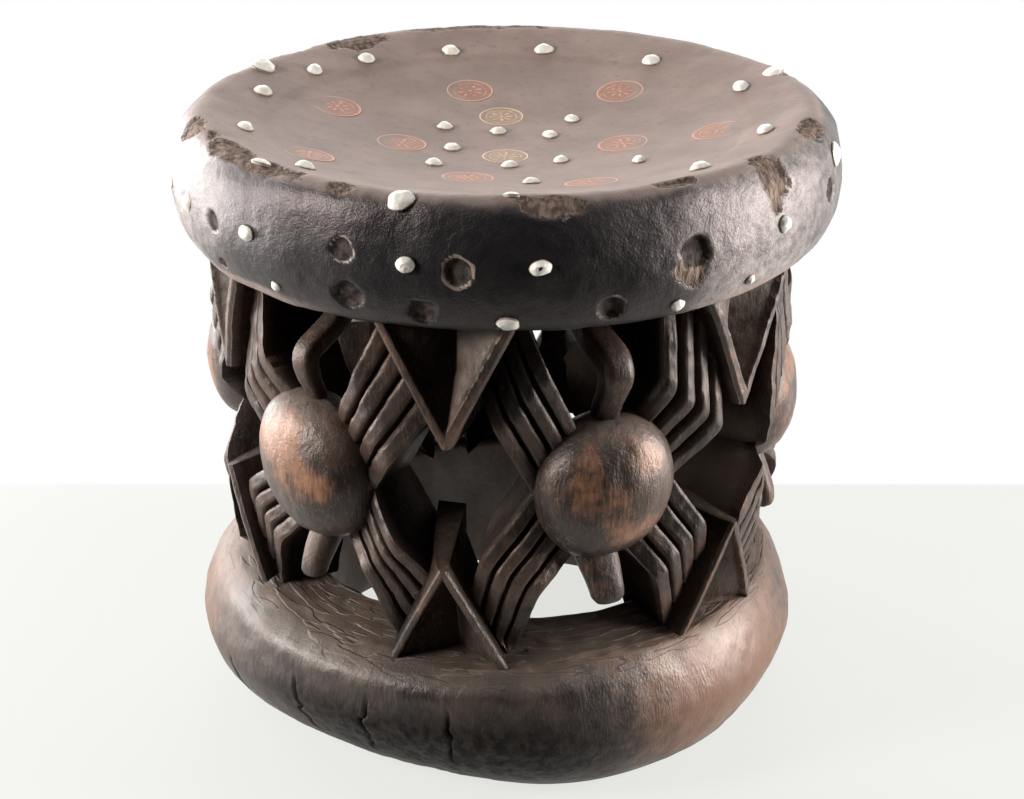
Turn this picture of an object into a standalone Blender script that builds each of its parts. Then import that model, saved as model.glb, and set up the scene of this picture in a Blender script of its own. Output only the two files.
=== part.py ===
"""Carved ceremonial stool: a dished seat on an openwork drum of six spiders and a ring base.

Angles go round the drum from the front (-Y) towards +X. Spiders sit midway between the triangles.
"""

import math
from functools import partial

import bmesh
import bpy
from mathutils import Matrix, Vector

for old in list(bpy.data.objects):
    bpy.data.objects.remove(old, do_unlink=True)

# Driving dimensions, in metres
CLEARANCE = 0.0003
TURNED_SIDES = 48

SEAT_RADIUS = 0.200
SEAT_WIDEST_Z = 0.338
SEAT_UNDERSIDE = 0.300
SEAT_LOWER_INSET = 0.0106
SEAT_LOWER_EDGE = 0.002
CREST_INSET = 0.017
CREST_Z = 0.3754
DISH_DEPTH = 0.034
COAT_THICKNESS = 0.003

BASE_RADIUS = 0.191
BASE_WIDEST_Z = 0.044
BASE_BORE = 0.128
BASE_SHOULDER_RADIUS = 0.170
BASE_SHOULDER_Z = 0.087
BASE_BORE_Z = 0.098
BASE_FOOT_RADIUS = 0.162
BASE_BORE_EDGE = 0.004
BASE_ROUND_RADIUS = 0.150
BASE_SWELL = 0.0085
BASE_LUMP = 0.002
BASE_FLAT = 0.018
BASE_FLAT_ANGLE = -18
BASE_FLAT_HALF = 31
BASE_FLAT_HEIGHT = 0.075

SPIDERS = 6
PITCH = 360 / SPIDERS
BODY_Z = 0.194
BODY_HALF_HEIGHT = 0.042
BODY_HALF_WIDTH = 0.041
BODY_HALF_DEPTH = 0.031
BODY_RADIUS = 0.155
BODY_SIDES = 12
BODY_STEPS = 6
NECK_HALF_WIDTH = 0.0085
TAIL_TIP_Z = 0.121
TAIL_RADIUS = 0.165
HEAD_RADIUS = 0.1705
HEAD_Z = 0.260
HEAD_FOOT_RADIUS = 0.134

LEG_RIBS = 4
LEG_GROOVE = 0.006
LEG_INNER_RADIUS = 0.137
LEG_ROOT_RADIUS = 0.164
KNEE_RADIUS = 0.172
LEG_END_RADIUS = 0.1675
LEG_FOOT_RADIUS = 0.155
GROOVE_SHARE = 0.22

TRIANGLE_INNER_RADIUS = 0.141
TRIANGLE_RIM = 0.0055
TRIANGLE_VALLEY = 0.011
SEAT_TRIANGLE_HALF = 12.7
SEAT_TRIANGLE_TIP_Z = 0.226
SEAT_TRIANGLE_TOP_RADIUS = 0.187
SEAT_TRIANGLE_TIP_RADIUS = 0.183
BASE_TRIANGLE_HALF = 12.0
BASE_TRIANGLE_APEX_Z = 0.159
BASE_TRIANGLE_APEX_RADIUS = 0.179
BASE_TRIANGLE_FOOT_RADIUS = 0.1715
TRIANGLE_BLUNT = 0.5

COPPER_DIAMETER = 0.0308
BRASS_DIAMETER = 0.0283
COIN_THICKNESS = 0.0016
COIN_LIP = 0.0004
COIN_SIDES = 14
SOCKET_RADIUS = 0.0075
RIM_STUD_RADIUS = 0.0055
DISH_STUD_RADIUS = 0.0045
BELT_STUD_RADIUS = 0.006
LOWER_STUD_RADIUS = 0.004
STUD_SIDES = 8

# Where the inlays lie: angle, and distance from the seat's middle as a share of the crest's radius
COPPER_PLACES = (
    (-156, 0.579), (-106, 0.645), (-54, 0.683), (40, 0.536), (98, 0.683), (153, 0.639),
    (-88, 0.350), (-10, 0.339), (106, 0.383),
)
BRASS_PLACES = ((-166, 0.366), (-1, 0.022))
OUTER_STUD_SHARE = 0.852
OUTER_STUD_ANGLES = (-178, -155, -133, -117, -95, -66, -34, 54, 85, 122, 154)
INNER_STUD_PLACES = (
    (-129, 0.328), (-162, 0.230), (156, 0.388), (153, 0.235), (-93, 0.186),
    (-46, 0.279), (15, 0.142), (72, 0.202), (74, 0.475), (22, 0.410),
)
BELT_STUD_ANGLES = (-52, -33, -4, 16, 61)
BELT_SOCKET_ANGLES = (-42, -15, 4, 41, 80)
BELT_RISE = 0.003
LOWER_STUD_ANGLES = (-28, 54)
LOWER_SOCKET_ANGLES = (-14, -2, 27)
LOWER_ROW_RISE = 0.0145
# Rim chips: middle angle, half-length round the rim, half-width across it
RIM_CHIPS = ((-40, 0.052, 0.010), (19, 0.016, 0.007), (58, 0.020, 0.011), (-158, 0.026, 0.006))


def on_drum(angle, radius, z):
    """The point at an angle in degrees, a distance from the axis and a height."""
    turn = math.radians(angle)
    return Vector((radius * math.sin(turn), -radius * math.cos(turn), z))


def mix(a, b, share):
    return a + (b - a) * share


def smooth(low, high, value):
    """From 0 at low to 1 at high, level at both ends."""
    share = min(max((value - low) / (high - low), 0.0), 1.0)
    return share * share * (3 - 2 * share)


def material(name, colour, roughness, metallic=0.0):
    made = bpy.data.materials.new(name)
    made.use_nodes = True
    shader = made.node_tree.nodes["Principled BSDF"]
    shader.inputs["Base Color"].default_value = (*colour, 1.0)
    shader.inputs["Roughness"].default_value = roughness
    shader.inputs["Metallic"].default_value = metallic
    return made


def add_object(name, mesh_data, surface, smooth_angle=35):
    """Make a named object from a bmesh, with its faces pointing out."""
    bmesh.ops.recalc_face_normals(mesh_data, faces=mesh_data.faces)
    mesh = bpy.data.meshes.new(name)
    mesh_data.to_mesh(mesh)
    mesh_data.free()
    mesh.shade_smooth()
    mesh.set_sharp_from_angle(angle=math.radians(smooth_angle))
    if surface:
        mesh.materials.append(surface)
    made = bpy.data.objects.new(name, mesh)
    bpy.context.collection.objects.link(made)
    return made


def numbered(name):
    """The next free name in a run such as coin_copper_1, coin_copper_2."""
    return f"{name}_{1 + sum(made.name.startswith(name) for made in bpy.data.objects)}"


def as_tool(made):
    made.hide_render = True
    made.display_type = "WIRE"
    return made


def combine(target, tool, operation):
    boolean = target.modifiers.new(tool.name, "BOOLEAN")
    boolean.operation = operation
    boolean.solver = "EXACT"
    boolean.object = tool


def add_turned(body, profile, sides, placing=None, shape=on_drum):
    """Turn a list of (radius, z) about Z; a point at radius 0 is a pole. The profile closes on itself."""
    placing = placing or Matrix.Identity(4)
    rings = []
    for radius, z in profile:
        if radius == 0:
            rings.append([body.verts.new(placing @ Vector((0, 0, z)))])
            continue
        ring = []
        for side in range(sides):
            ring.append(body.verts.new(placing @ shape(360 * side / sides, radius, z)))
        rings.append(ring)
    for lower, upper in zip(rings, rings[1:] + rings[:1]):
        if len(lower) == len(upper) == 1:
            continue
        for side in range(sides):
            after = (side + 1) % sides
            corners = [lower[side % len(lower)], lower[after % len(lower)]]
            corners += [upper[after % len(upper)], upper[side % len(upper)]]
            body.faces.new(list(dict.fromkeys(corners)))


def turned(name, profile, surface, sides=TURNED_SIDES):
    body = bmesh.new()
    add_turned(body, profile, sides)
    return add_object(name, body, surface)


def offset_profile(profile, distance):
    """Move an open profile of (radius, z) points square to itself, to its left-hand side."""
    moved = []
    for index, (radius, z) in enumerate(profile):
        before = Vector(profile[max(index - 1, 0)])
        after = Vector(profile[min(index + 1, len(profile) - 1)])
        along = (after - before).normalized()
        if radius == 0:
            along = Vector((-1, 0))
        moved.append((radius - along.y * distance if radius else 0, z + along.x * distance))
    return moved


# Seat
SEAT_LOWER_RADIUS = SEAT_RADIUS - SEAT_LOWER_INSET
CREST_RADIUS = SEAT_RADIUS - CREST_INSET
BELT_Z = SEAT_WIDEST_Z + BELT_RISE
LOWER_ROW_Z = SEAT_UNDERSIDE + LOWER_ROW_RISE
DISH_CURVE = (CREST_RADIUS**2 + DISH_DEPTH**2) / (2 * DISH_DEPTH)
DISH_BOTTOM = CREST_Z - DISH_DEPTH


def dish_z(radius):
    return DISH_BOTTOM + DISH_CURVE - math.sqrt(DISH_CURVE**2 - radius**2)


def barrel_radius(z):
    """Radius of the seat's bulging side at a height."""
    if z < SEAT_WIDEST_Z:
        drop = (SEAT_WIDEST_Z - z) / (SEAT_WIDEST_Z - SEAT_UNDERSIDE)
        return SEAT_RADIUS - (SEAT_RADIUS - SEAT_LOWER_RADIUS) * drop**2
    rise = (z - SEAT_WIDEST_Z) / (CREST_Z - SEAT_WIDEST_Z)
    return CREST_RADIUS + (SEAT_RADIUS - CREST_RADIUS) * math.sqrt(max(0.0, 1 - rise**2.2))


def seat_outline():
    """The coat's outer profile, up the side from the lower edge, over the crest and down to the middle."""
    low = SEAT_UNDERSIDE + SEAT_LOWER_EDGE
    outline = []
    for share in (0.0, 0.25, 0.5, 0.75, 0.9, 0.98):
        z = mix(low, CREST_Z, share)
        outline.append((barrel_radius(z), z))
    outline.append((CREST_RADIUS, CREST_Z))
    for share in (0.94, 0.82, 0.655, 0.465, 0.245, 0.0):
        outline.append((CREST_RADIUS * share, dish_z(CREST_RADIUS * share)))
    return outline


def tangent_frame(point, normal):
    """A placing whose Z follows a surface normal at a point."""
    turn = normal.to_track_quat("Z", "Y").to_matrix().to_4x4()
    return Matrix.Translation(point) @ turn


def dish_frame(angle, radius):
    """A placing on the dish, Z square to its surface."""
    point = on_drum(angle, radius, dish_z(radius))
    middle = Vector((0, 0, DISH_BOTTOM + DISH_CURVE))
    return tangent_frame(point, (middle - point).normalized())


def side_frame(angle, z):
    """A placing on the flat of the seat's many-sided side, Z square to its surface."""
    outline = seat_outline()
    (low_radius, low), (high_radius, high) = next(
        pair for pair in zip(outline, outline[1:]) if pair[0][1] <= z <= pair[1][1]
    )
    slope = (high_radius - low_radius) / (high - low)
    half_side = math.pi / TURNED_SIDES
    from_flat = math.radians(angle) % (2 * half_side) - half_side
    radius = (low_radius + slope * (z - low)) * math.cos(half_side) / math.cos(from_flat)
    flat_angle = angle - math.degrees(from_flat)
    return tangent_frame(on_drum(angle, radius, z), on_drum(flat_angle, 1, -slope).normalized())


def disc_profile(radius, top, bottom):
    return [(0, top), (radius, top), (radius, bottom), (0, bottom)]


def coin_profile(diameter):
    """A worn coin: a flat field inside a low rounded lip."""
    radius = diameter / 2
    lip = radius * 0.88
    return [
        (0, -COIN_LIP), (lip, -COIN_LIP), (lip + COIN_LIP, 0), (radius, 0),
        (radius, -COIN_THICKNESS), (0, -COIN_THICKNESS),
    ]


def stud_profile(radius):
    """A low shell dome with a flat glued foot."""
    height = 0.55 * radius
    foot = 2 * CLEARANCE
    brow = [(0, height), (0.6 * radius, 0.82 * height), (radius, foot + 0.25 * height)]
    return brow + [(0.9 * radius, foot), (0, foot)]


def chip_cutter(body, angle, half_length, half_width):
    """An oval bite lying along the rim's outer shoulder."""
    spot = mix(SEAT_WIDEST_Z, CREST_Z, 0.84)
    placing = Matrix.Translation(on_drum(angle, barrel_radius(spot), spot))
    placing = placing @ Matrix.Rotation(math.radians(angle), 4, "Z")
    stretch = Matrix.Diagonal((half_length, half_width, half_width, 1))
    bmesh.ops.create_icosphere(body, subdivisions=2, radius=1.0, matrix=placing @ stretch)


def both_sides(angles):
    """The front's angles, and the same spacing carried on round the back."""
    return [angle + turn for turn in (0, 180) for angle in angles]


def build_seat(wood, coat_surface, copper, brass, shell):
    outline = seat_outline()
    inner = offset_profile(outline, COAT_THICKNESS)
    coat = turned("seat_coat", outline + inner[::-1], coat_surface)

    core = offset_profile(outline, COAT_THICKNESS + CLEARANCE)
    underside = [(0, SEAT_UNDERSIDE), (core[0][0] - SEAT_LOWER_EDGE, SEAT_UNDERSIDE)]
    turned("seat_slab", underside + core, wood)

    pockets = bmesh.new()
    fit = 1.5 * CLEARANCE
    coins = [("coin_copper", place, COPPER_DIAMETER, copper) for place in COPPER_PLACES]
    coins += [("coin_brass", place, BRASS_DIAMETER, brass) for place in BRASS_PLACES]
    for name, (angle, share), diameter, metal in coins:
        placing = dish_frame(angle, CREST_RADIUS * share)
        pocket = disc_profile(diameter / 2 + fit, COAT_THICKNESS, -COIN_THICKNESS - fit)
        add_turned(pockets, pocket, COIN_SIDES, placing)
        coin = bmesh.new()
        add_turned(coin, coin_profile(diameter), COIN_SIDES, placing)
        add_object(numbered(name), coin, metal)

    socket = disc_profile(SOCKET_RADIUS, COAT_THICKNESS, -2 * COAT_THICKNESS)
    for angle in both_sides(BELT_SOCKET_ANGLES):
        add_turned(pockets, socket, STUD_SIDES, side_frame(angle, BELT_Z))
    for angle in both_sides(LOWER_SOCKET_ANGLES):
        add_turned(pockets, socket, STUD_SIDES, side_frame(angle, LOWER_ROW_Z))
    combine(coat, as_tool(add_object("coat_pockets", pockets, None)), "DIFFERENCE")

    chips = bmesh.new()
    for angle, half_length, half_width in RIM_CHIPS:
        chip_cutter(chips, angle, half_length, half_width)
    combine(coat, as_tool(add_object("coat_chips", chips, None)), "DIFFERENCE")

    dish_places = [("shell_rim", RIM_STUD_RADIUS, angle, OUTER_STUD_SHARE) for angle in OUTER_STUD_ANGLES]
    dish_places += [("shell_dish", DISH_STUD_RADIUS, angle, share) for angle, share in INNER_STUD_PLACES]
    side_places = [(BELT_STUD_RADIUS, angle, BELT_Z) for angle in BELT_STUD_ANGLES]
    side_places += [(LOWER_STUD_RADIUS, angle, LOWER_ROW_Z) for angle in LOWER_STUD_ANGLES]
    studs = [(name, size, dish_frame(angle, CREST_RADIUS * share)) for name, size, angle, share in dish_places]
    studs += [("shell_belt", size, side_frame(angle, z)) for size, angle, z in side_places]
    for name, radius, placing in studs:
        stud = bmesh.new()
        add_turned(stud, stud_profile(radius), STUD_SIDES, placing)
        add_object(numbered(name), stud, shell)


# Base
BASE_SLOPE = (BASE_BORE_Z - BASE_SHOULDER_Z) / (BASE_SHOULDER_RADIUS - BASE_BORE)


def base_top(radius):
    """Height of the ring's sloping top."""
    return BASE_BORE_Z - (radius - BASE_BORE) * BASE_SLOPE


def on_ring(angle, radius, z):
    """A point of the lopsided ring: its outside swells to one side, and its foot is flattened in front.

    The swelling fades out towards the bore, and the sloping top slides along its own slope.
    """
    turn = math.radians(angle)
    swell = BASE_LUMP * (math.sin(2 * turn) + math.cos(3 * turn)) - BASE_SWELL * math.sin(turn)
    swell *= smooth(BASE_ROUND_RADIUS, BASE_RADIUS, radius)
    from_flat = (angle - BASE_FLAT_ANGLE + 180) % 360 - 180
    flat = BASE_FLAT * math.exp(-abs(from_flat / BASE_FLAT_HALF) ** 3) * (1 - smooth(0, BASE_FLAT_HEIGHT, z))
    flat *= min(1.0, (radius - BASE_BORE) / (BASE_FOOT_RADIUS - BASE_BORE))
    drop = swell * BASE_SLOPE * smooth(BASE_WIDEST_Z, BASE_SHOULDER_Z, z)
    return on_drum(angle, radius + swell - flat, z - drop)


def build_base(wood):
    """A thick ring with a full rounded outside and a straight bore."""
    profile = [(BASE_BORE, 0)]
    for degrees in (-90, -66, -42, -20, 0, 22, 44, 66, 90):
        swing = math.radians(degrees)
        inset = BASE_FOOT_RADIUS if degrees < 0 else BASE_SHOULDER_RADIUS
        reach = BASE_WIDEST_Z if degrees < 0 else BASE_SHOULDER_Z - BASE_WIDEST_Z
        profile.append((mix(inset, BASE_RADIUS, math.cos(swing)), BASE_WIDEST_Z + reach * math.sin(swing)))
    edge = BASE_BORE + BASE_BORE_EDGE
    profile.append((edge, base_top(edge)))
    profile.append((BASE_BORE, base_top(edge) - 0.75 * BASE_BORE_EDGE))
    body = bmesh.new()
    add_turned(body, profile, TURNED_SIDES, shape=on_ring)
    add_object("base_ring", body, wood)


# Walls of the drum
def add_wall(body, outer, inner):
    """A closed block between an outer and an inner grid of points.

    Both grids have the same rows; the outer has a whole number of columns to each inner one.
    """
    front = [[body.verts.new(point) for point in row] for row in outer]
    back = [[body.verts.new(point) for point in row] for row in inner]
    step = (len(front[0]) - 1) // (len(back[0]) - 1)
    for low, high in zip(range(len(front) - 1), range(1, len(front))):
        for grid in (front, back):
            for column in range(len(grid[0]) - 1):
                near, far = grid[low], grid[high]
                body.faces.new((near[column], near[column + 1], far[column + 1], far[column]))
        for edge in (0, -1):
            body.faces.new((front[low][edge], front[high][edge], back[high][edge], back[low][edge]))
    for row in (0, -1):
        for column in range(len(back[0]) - 1):
            rim = front[row][column * step:(column + 1) * step + 1]
            body.faces.new(rim + [back[row][column + 1], back[row][column]])


def triangle_wall(name, middle, surface, rows):
    """A wedge with a raised rim and a two-plane valley in its face.

    Each row gives its half-angle, its face radius and the height at a radius.
    """
    outer, inner = [], []
    for half, face, height in rows:
        half_width = math.radians(half) * face
        rim = min(TRIANGLE_RIM / half_width, 0.6)
        valley = TRIANGLE_VALLEY * min(1.0, max(0.0, half_width - TRIANGLE_RIM) / (3 * TRIANGLE_RIM))
        across = ((-1, 0), (rim - 1, 0), (0, valley), (1 - rim, 0), (1, 0))
        outer.append([on_drum(middle + half * u, face - sunk, height(face - sunk)) for u, sunk in across])
        back = TRIANGLE_INNER_RADIUS
        inner.append([on_drum(middle + half * u, back, height(back)) for u, _ in across])
    body = bmesh.new()
    add_wall(body, outer, inner)
    return add_object(name, body, surface, 25)


def seat_triangle_z(half):
    """Height of a seat triangle's side at an angle from its middle."""
    rise = (SEAT_UNDERSIDE - SEAT_TRIANGLE_TIP_Z) * half / SEAT_TRIANGLE_HALF
    return SEAT_TRIANGLE_TIP_Z + rise


def level(z, radius):
    """The same height at every radius."""
    return z


def base_triangle_z(half, radius, lift=0.0):
    """Height of a base triangle's side at an angle from its middle; it climbs inwards like the ring."""
    foot = base_top(BASE_TRIANGLE_FOOT_RADIUS)
    front = BASE_TRIANGLE_APEX_Z - (BASE_TRIANGLE_APEX_Z - foot) * half / BASE_TRIANGLE_HALF
    return front + (BASE_TRIANGLE_FOOT_RADIUS - radius) * BASE_SLOPE + lift


def build_triangles(wood):
    shares = (0.0, 0.2, 0.4, 0.6, 0.8, 1.0)
    for number in range(SPIDERS):
        middle = number * PITCH
        rows = []
        for share in shares:
            half = mix(SEAT_TRIANGLE_HALF, TRIANGLE_BLUNT, share)
            face = mix(SEAT_TRIANGLE_TOP_RADIUS, SEAT_TRIANGLE_TIP_RADIUS, share)
            z = min(seat_triangle_z(half), SEAT_UNDERSIDE - CLEARANCE)
            rows.append((half, face, partial(level, z)))
        triangle_wall(f"seat_triangle_{number + 1}", middle, wood, rows)
        rows = []
        for share in shares:
            half = mix(BASE_TRIANGLE_HALF, TRIANGLE_BLUNT, share)
            face = mix(BASE_TRIANGLE_FOOT_RADIUS, BASE_TRIANGLE_APEX_RADIUS, share)
            lift = CLEARANCE * 1.5 if share == 0 else 0
            height = partial(base_triangle_z, half, lift=lift)
            rows.append((half, face, height))
        triangle_wall(f"base_triangle_{number + 1}", middle, wood, rows)


# Spiders
def body_stations():
    """Sections up a spider: (radius, z, tilt inwards, half-width, half-depth), tail to head."""
    neck = NECK_HALF_WIDTH
    stations = [
        (TAIL_RADIUS, TAIL_TIP_Z, 0, 0.45 * neck, 0.45 * neck),
        (TAIL_RADIUS, TAIL_TIP_Z + 0.35 * neck, 0, 0.9 * neck, 0.9 * neck),
        (TAIL_RADIUS, TAIL_TIP_Z + 1.4 * neck, 0, 1.05 * neck, neck),
    ]
    for step in range(BODY_STEPS + 1):
        rise = math.radians(mix(-78, 78, step / BODY_STEPS))
        swell = math.cos(rise) ** 0.7
        lean = TAIL_RADIUS - (TAIL_RADIUS - BODY_RADIUS) * swell
        z = BODY_Z + BODY_HALF_HEIGHT * math.sin(rise)
        stations.append((lean, z, 0, BODY_HALF_WIDTH * swell, BODY_HALF_DEPTH * swell))
    rise = SEAT_UNDERSIDE - CLEARANCE - HEAD_Z
    reach = HEAD_RADIUS - HEAD_FOOT_RADIUS
    stations += [
        (HEAD_RADIUS - 0.08 * reach, HEAD_Z - 0.31 * rise, -18, neck, 0.95 * neck),
        (HEAD_RADIUS, HEAD_Z, 10, neck, neck),
        (HEAD_RADIUS - 0.12 * reach, HEAD_Z + 0.30 * rise, 42, neck, neck),
        (HEAD_RADIUS - 0.45 * reach, HEAD_Z + 0.55 * rise, 55, neck, 0.95 * neck),
        (HEAD_RADIUS - 0.84 * reach, HEAD_Z + 0.81 * rise, 45, neck, 0.95 * neck),
        (HEAD_FOOT_RADIUS, HEAD_Z + rise, 0, neck, neck),
    ]
    return stations


def spider_body(name, middle, surface):
    """A full oval body with a blunt tail hanging free and a head bent inwards under the seat."""
    body = bmesh.new()
    rings = []
    for radius, z, tilt, wide, deep in body_stations():
        lean = math.radians(tilt)
        ring = []
        for side in range(BODY_SIDES):
            turn = 2 * math.pi * side / BODY_SIDES
            sideways = wide * math.cos(turn)
            outwards = deep * math.copysign(abs(math.sin(turn)) ** 0.8, math.sin(turn))
            point = Vector((sideways, -radius - outwards * math.cos(lean), z + outwards * math.sin(lean)))
            ring.append(body.verts.new(Matrix.Rotation(math.radians(middle), 3, "Z") @ point))
        rings.append(ring)
    for lower, upper in zip(rings, rings[1:]):
        for side in range(BODY_SIDES):
            after = (side + 1) % BODY_SIDES
            body.faces.new((lower[side], lower[after], upper[after], upper[side]))
    body.faces.new(rings[0][::-1])
    body.faces.new(rings[-1])
    return add_object(name, body, surface, 60)


# A leg group's two edges at the body, the knee and the far end, each as an angle from the spider, a height
# from the body's middle in body half-heights, and a face radius; the far end's height is that of what it meets
UPPER_EDGES = (
    ((4.5, 0.86, LEG_ROOT_RADIUS), (14.0, 1.33, KNEE_RADIUS), (14.2, 0, LEG_END_RADIUS)),
    ((12.0, 0.08, LEG_ROOT_RADIUS), (26.0, 0.52, KNEE_RADIUS), (26.0, 0, LEG_END_RADIUS)),
)
LOWER_EDGES = (
    ((12.0, -0.01, LEG_ROOT_RADIUS), (24.0, -0.95, KNEE_RADIUS), (26.0, 0, LEG_END_RADIUS)),
    ((4.5, -0.86, LEG_ROOT_RADIUS), (12.5, -1.45, KNEE_RADIUS), (17.5, 0, LEG_FOOT_RADIUS)),
)


def far_height(upper, angle, radius):
    """Where a leg ends: against the seat or the ring, or earlier against a triangle's side."""
    gap = 5 * CLEARANCE
    half = PITCH / 2 - angle
    if upper:
        return min(SEAT_UNDERSIDE - CLEARANCE, seat_triangle_z(half) - gap)
    return max(base_top(radius) + 2 * CLEARANCE, base_triangle_z(half, radius) + gap)


def rib_columns():
    """Shares across a leg group, with how deep each lies: ribs with a groove between each two."""
    columns = [(0.0, 0.15)]
    for rib in range(LEG_RIBS):
        start, end = rib / LEG_RIBS, (rib + 1) / LEG_RIBS
        rim = GROOVE_SHARE / LEG_RIBS
        last = rib == LEG_RIBS - 1
        columns += [(start + rim, 0.0), (end - rim, 0.0), (end, 0.15 if last else 1.0)]
    return columns


def add_leg_group(body, middle, side, edges, upper):
    """Four ribbed legs side by side, bent at the knee, from a body to the seat or the base."""
    columns = rib_columns()
    outer, inner = [], []
    for station, (first, second) in enumerate(zip(*edges)):
        rows = []
        for share, depth in columns:
            angle, rise, face = (mix(a, b, share) for a, b in zip(first, second))
            back = depth == 0.15 or depth == 1.0
            rows.append((angle, BODY_Z + BODY_HALF_HEIGHT * rise, face - LEG_GROOVE * depth, back))
        ends = station == len(edges[0]) - 1
        outer.append([
            on_drum(middle + side * angle, face, far_height(upper, angle, face) if ends else z)
            for angle, z, face, _ in rows
        ])
        inner.append([
            on_drum(
                middle + side * angle,
                LEG_INNER_RADIUS,
                far_height(upper, angle, LEG_INNER_RADIUS) if ends else z,
            )
            for angle, z, _, back in rows
            if back
        ])
    add_wall(body, outer, inner)


def build_spiders(wood):
    for number in range(SPIDERS):
        middle = (number + 0.5) * PITCH
        spider = spider_body(f"spider_{number + 1}", middle, wood)
        legs = bmesh.new()
        for side in (-1, 1):
            add_leg_group(legs, middle, side, UPPER_EDGES, True)
            add_leg_group(legs, middle, side, LOWER_EDGES, False)
        combine(spider, as_tool(add_object(f"legs_{number + 1}", legs, wood, 25)), "UNION")


seat_wood = material("seat_wood", (0.09, 0.055, 0.035), 0.75)
carved_wood = material("carved_wood", (0.055, 0.034, 0.024), 0.5)
base_wood = material("base_wood", (0.075, 0.045, 0.032), 0.55)
black_coat = material("black_coat", (0.012, 0.012, 0.013), 0.4)
coin_copper = material("coin_copper", (0.16, 0.06, 0.035), 0.45, 0.7)
coin_brass = material("coin_brass", (0.22, 0.15, 0.08), 0.45, 0.7)
shell_white = material("shell_white", (0.75, 0.70, 0.62), 0.4)

build_base(base_wood)
build_triangles(carved_wood)
build_spiders(carved_wood)
build_seat(seat_wood, black_coat, coin_copper, coin_brass, shell_white)
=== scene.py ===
# %% [markdown]
# # A carved ceremonial stool
# One log of dark wood, carved into a dished seat, a drum of six spiders and a heavy ring. A black coat,
# coins and shell studs cover the seat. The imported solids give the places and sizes, and this lesson gives
# them a carved surface: every piece below is a numpy formula that is poured into a mesh.

import bmesh
import bpy
import numpy as np
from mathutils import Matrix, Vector


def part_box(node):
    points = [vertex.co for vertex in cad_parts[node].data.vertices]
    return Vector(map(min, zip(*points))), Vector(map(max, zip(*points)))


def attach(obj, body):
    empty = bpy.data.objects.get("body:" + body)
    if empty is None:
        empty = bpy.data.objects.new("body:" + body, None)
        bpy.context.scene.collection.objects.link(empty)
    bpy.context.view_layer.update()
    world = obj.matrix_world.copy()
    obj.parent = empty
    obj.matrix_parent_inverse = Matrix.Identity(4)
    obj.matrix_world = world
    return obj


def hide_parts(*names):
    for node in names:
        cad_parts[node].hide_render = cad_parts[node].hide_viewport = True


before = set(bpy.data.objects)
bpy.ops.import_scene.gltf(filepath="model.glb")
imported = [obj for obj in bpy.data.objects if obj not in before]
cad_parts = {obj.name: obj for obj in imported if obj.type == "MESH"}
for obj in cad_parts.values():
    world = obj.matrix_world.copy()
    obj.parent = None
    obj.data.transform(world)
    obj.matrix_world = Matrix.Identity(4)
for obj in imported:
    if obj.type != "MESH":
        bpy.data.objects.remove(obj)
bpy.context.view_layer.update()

# %% [markdown]
# ## Measures
# The seat's radius and heights are read from the solids, and so are the places of the inlays. The ring
# and the inner wall of the drum are given here. Angles go round from the front (-Y) towards +X, as in the
# frame. Lengths are in metres.

# %% Main sizes
_, coat_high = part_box("seat_coat")
slab_low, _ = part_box("seat_slab")

SEAT_RADIUS = coat_high[0]
SEAT_TOP = coat_high[2]
SEAT_UNDER = slab_low[2]
CREST_RADIUS = SEAT_RADIUS - 0.017
DISH_DEPTH = 0.034
DISH_CURVE = (CREST_RADIUS**2 + DISH_DEPTH**2) / (2 * DISH_DEPTH)
DISH_MIDDLE = np.array([0, 0, SEAT_TOP - DISH_DEPTH + DISH_CURVE])

RING_RADIUS = 0.191
RING_BORE = 0.128
RING_TOP = 0.098
RING_SLOPE = 0.262
WALL_INNER = 0.121
print("seat radius", round(SEAT_RADIUS, 4), "ring radius", round(RING_RADIUS, 4))

# %% [markdown]
# ## Helpers for surfaces
# Every shape is a grid of points: rows along it and columns round it. A closed tube needs its two ends
# capped, and a pole is just a row whose points all coincide. Welding those doubles afterwards closes the
# surface.


# %% Points, noise and curves
def on_drum(degrees, radius, z):
    """Points at an angle from the front, a distance from the axis and a height."""
    turn = np.radians(degrees)
    return np.stack(np.broadcast_arrays(radius * np.sin(turn), -radius * np.cos(turn), z), axis=-1)


def mix(a, b, share):
    """A value that lies a share of the way from a to b."""
    return a + (b - a) * share


def step(low, high, value):
    """A smooth step: 0 below low, 1 above high, and s*s*(3-2s) between."""
    share = np.clip((value - low) / (high - low), 0, 1)
    return share * share * (3 - 2 * share)


LATTICE = 32


def noise(points, cell, seed):
    """Smooth random values in -1..1.

    Random numbers sit on a cubic lattice, one per cell, and are blended between its eight corners.
    """
    table = np.random.default_rng(seed).uniform(-1, 1, (LATTICE,) * 3)
    place = np.asarray(points) / cell
    low = np.floor(place).astype(int)
    share = place - low
    share = share * share * (3 - 2 * share)
    total = np.zeros(place.shape[:-1])
    for corner in np.ndindex(2, 2, 2):
        weight = np.prod(np.where(corner, share, 1 - share), axis=-1)
        x, y, z = np.moveaxis((low + corner) % LATTICE, -1, 0)
        total += weight * table[x, y, z]
    return total


SPLINE_SAMPLES = 30


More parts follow.
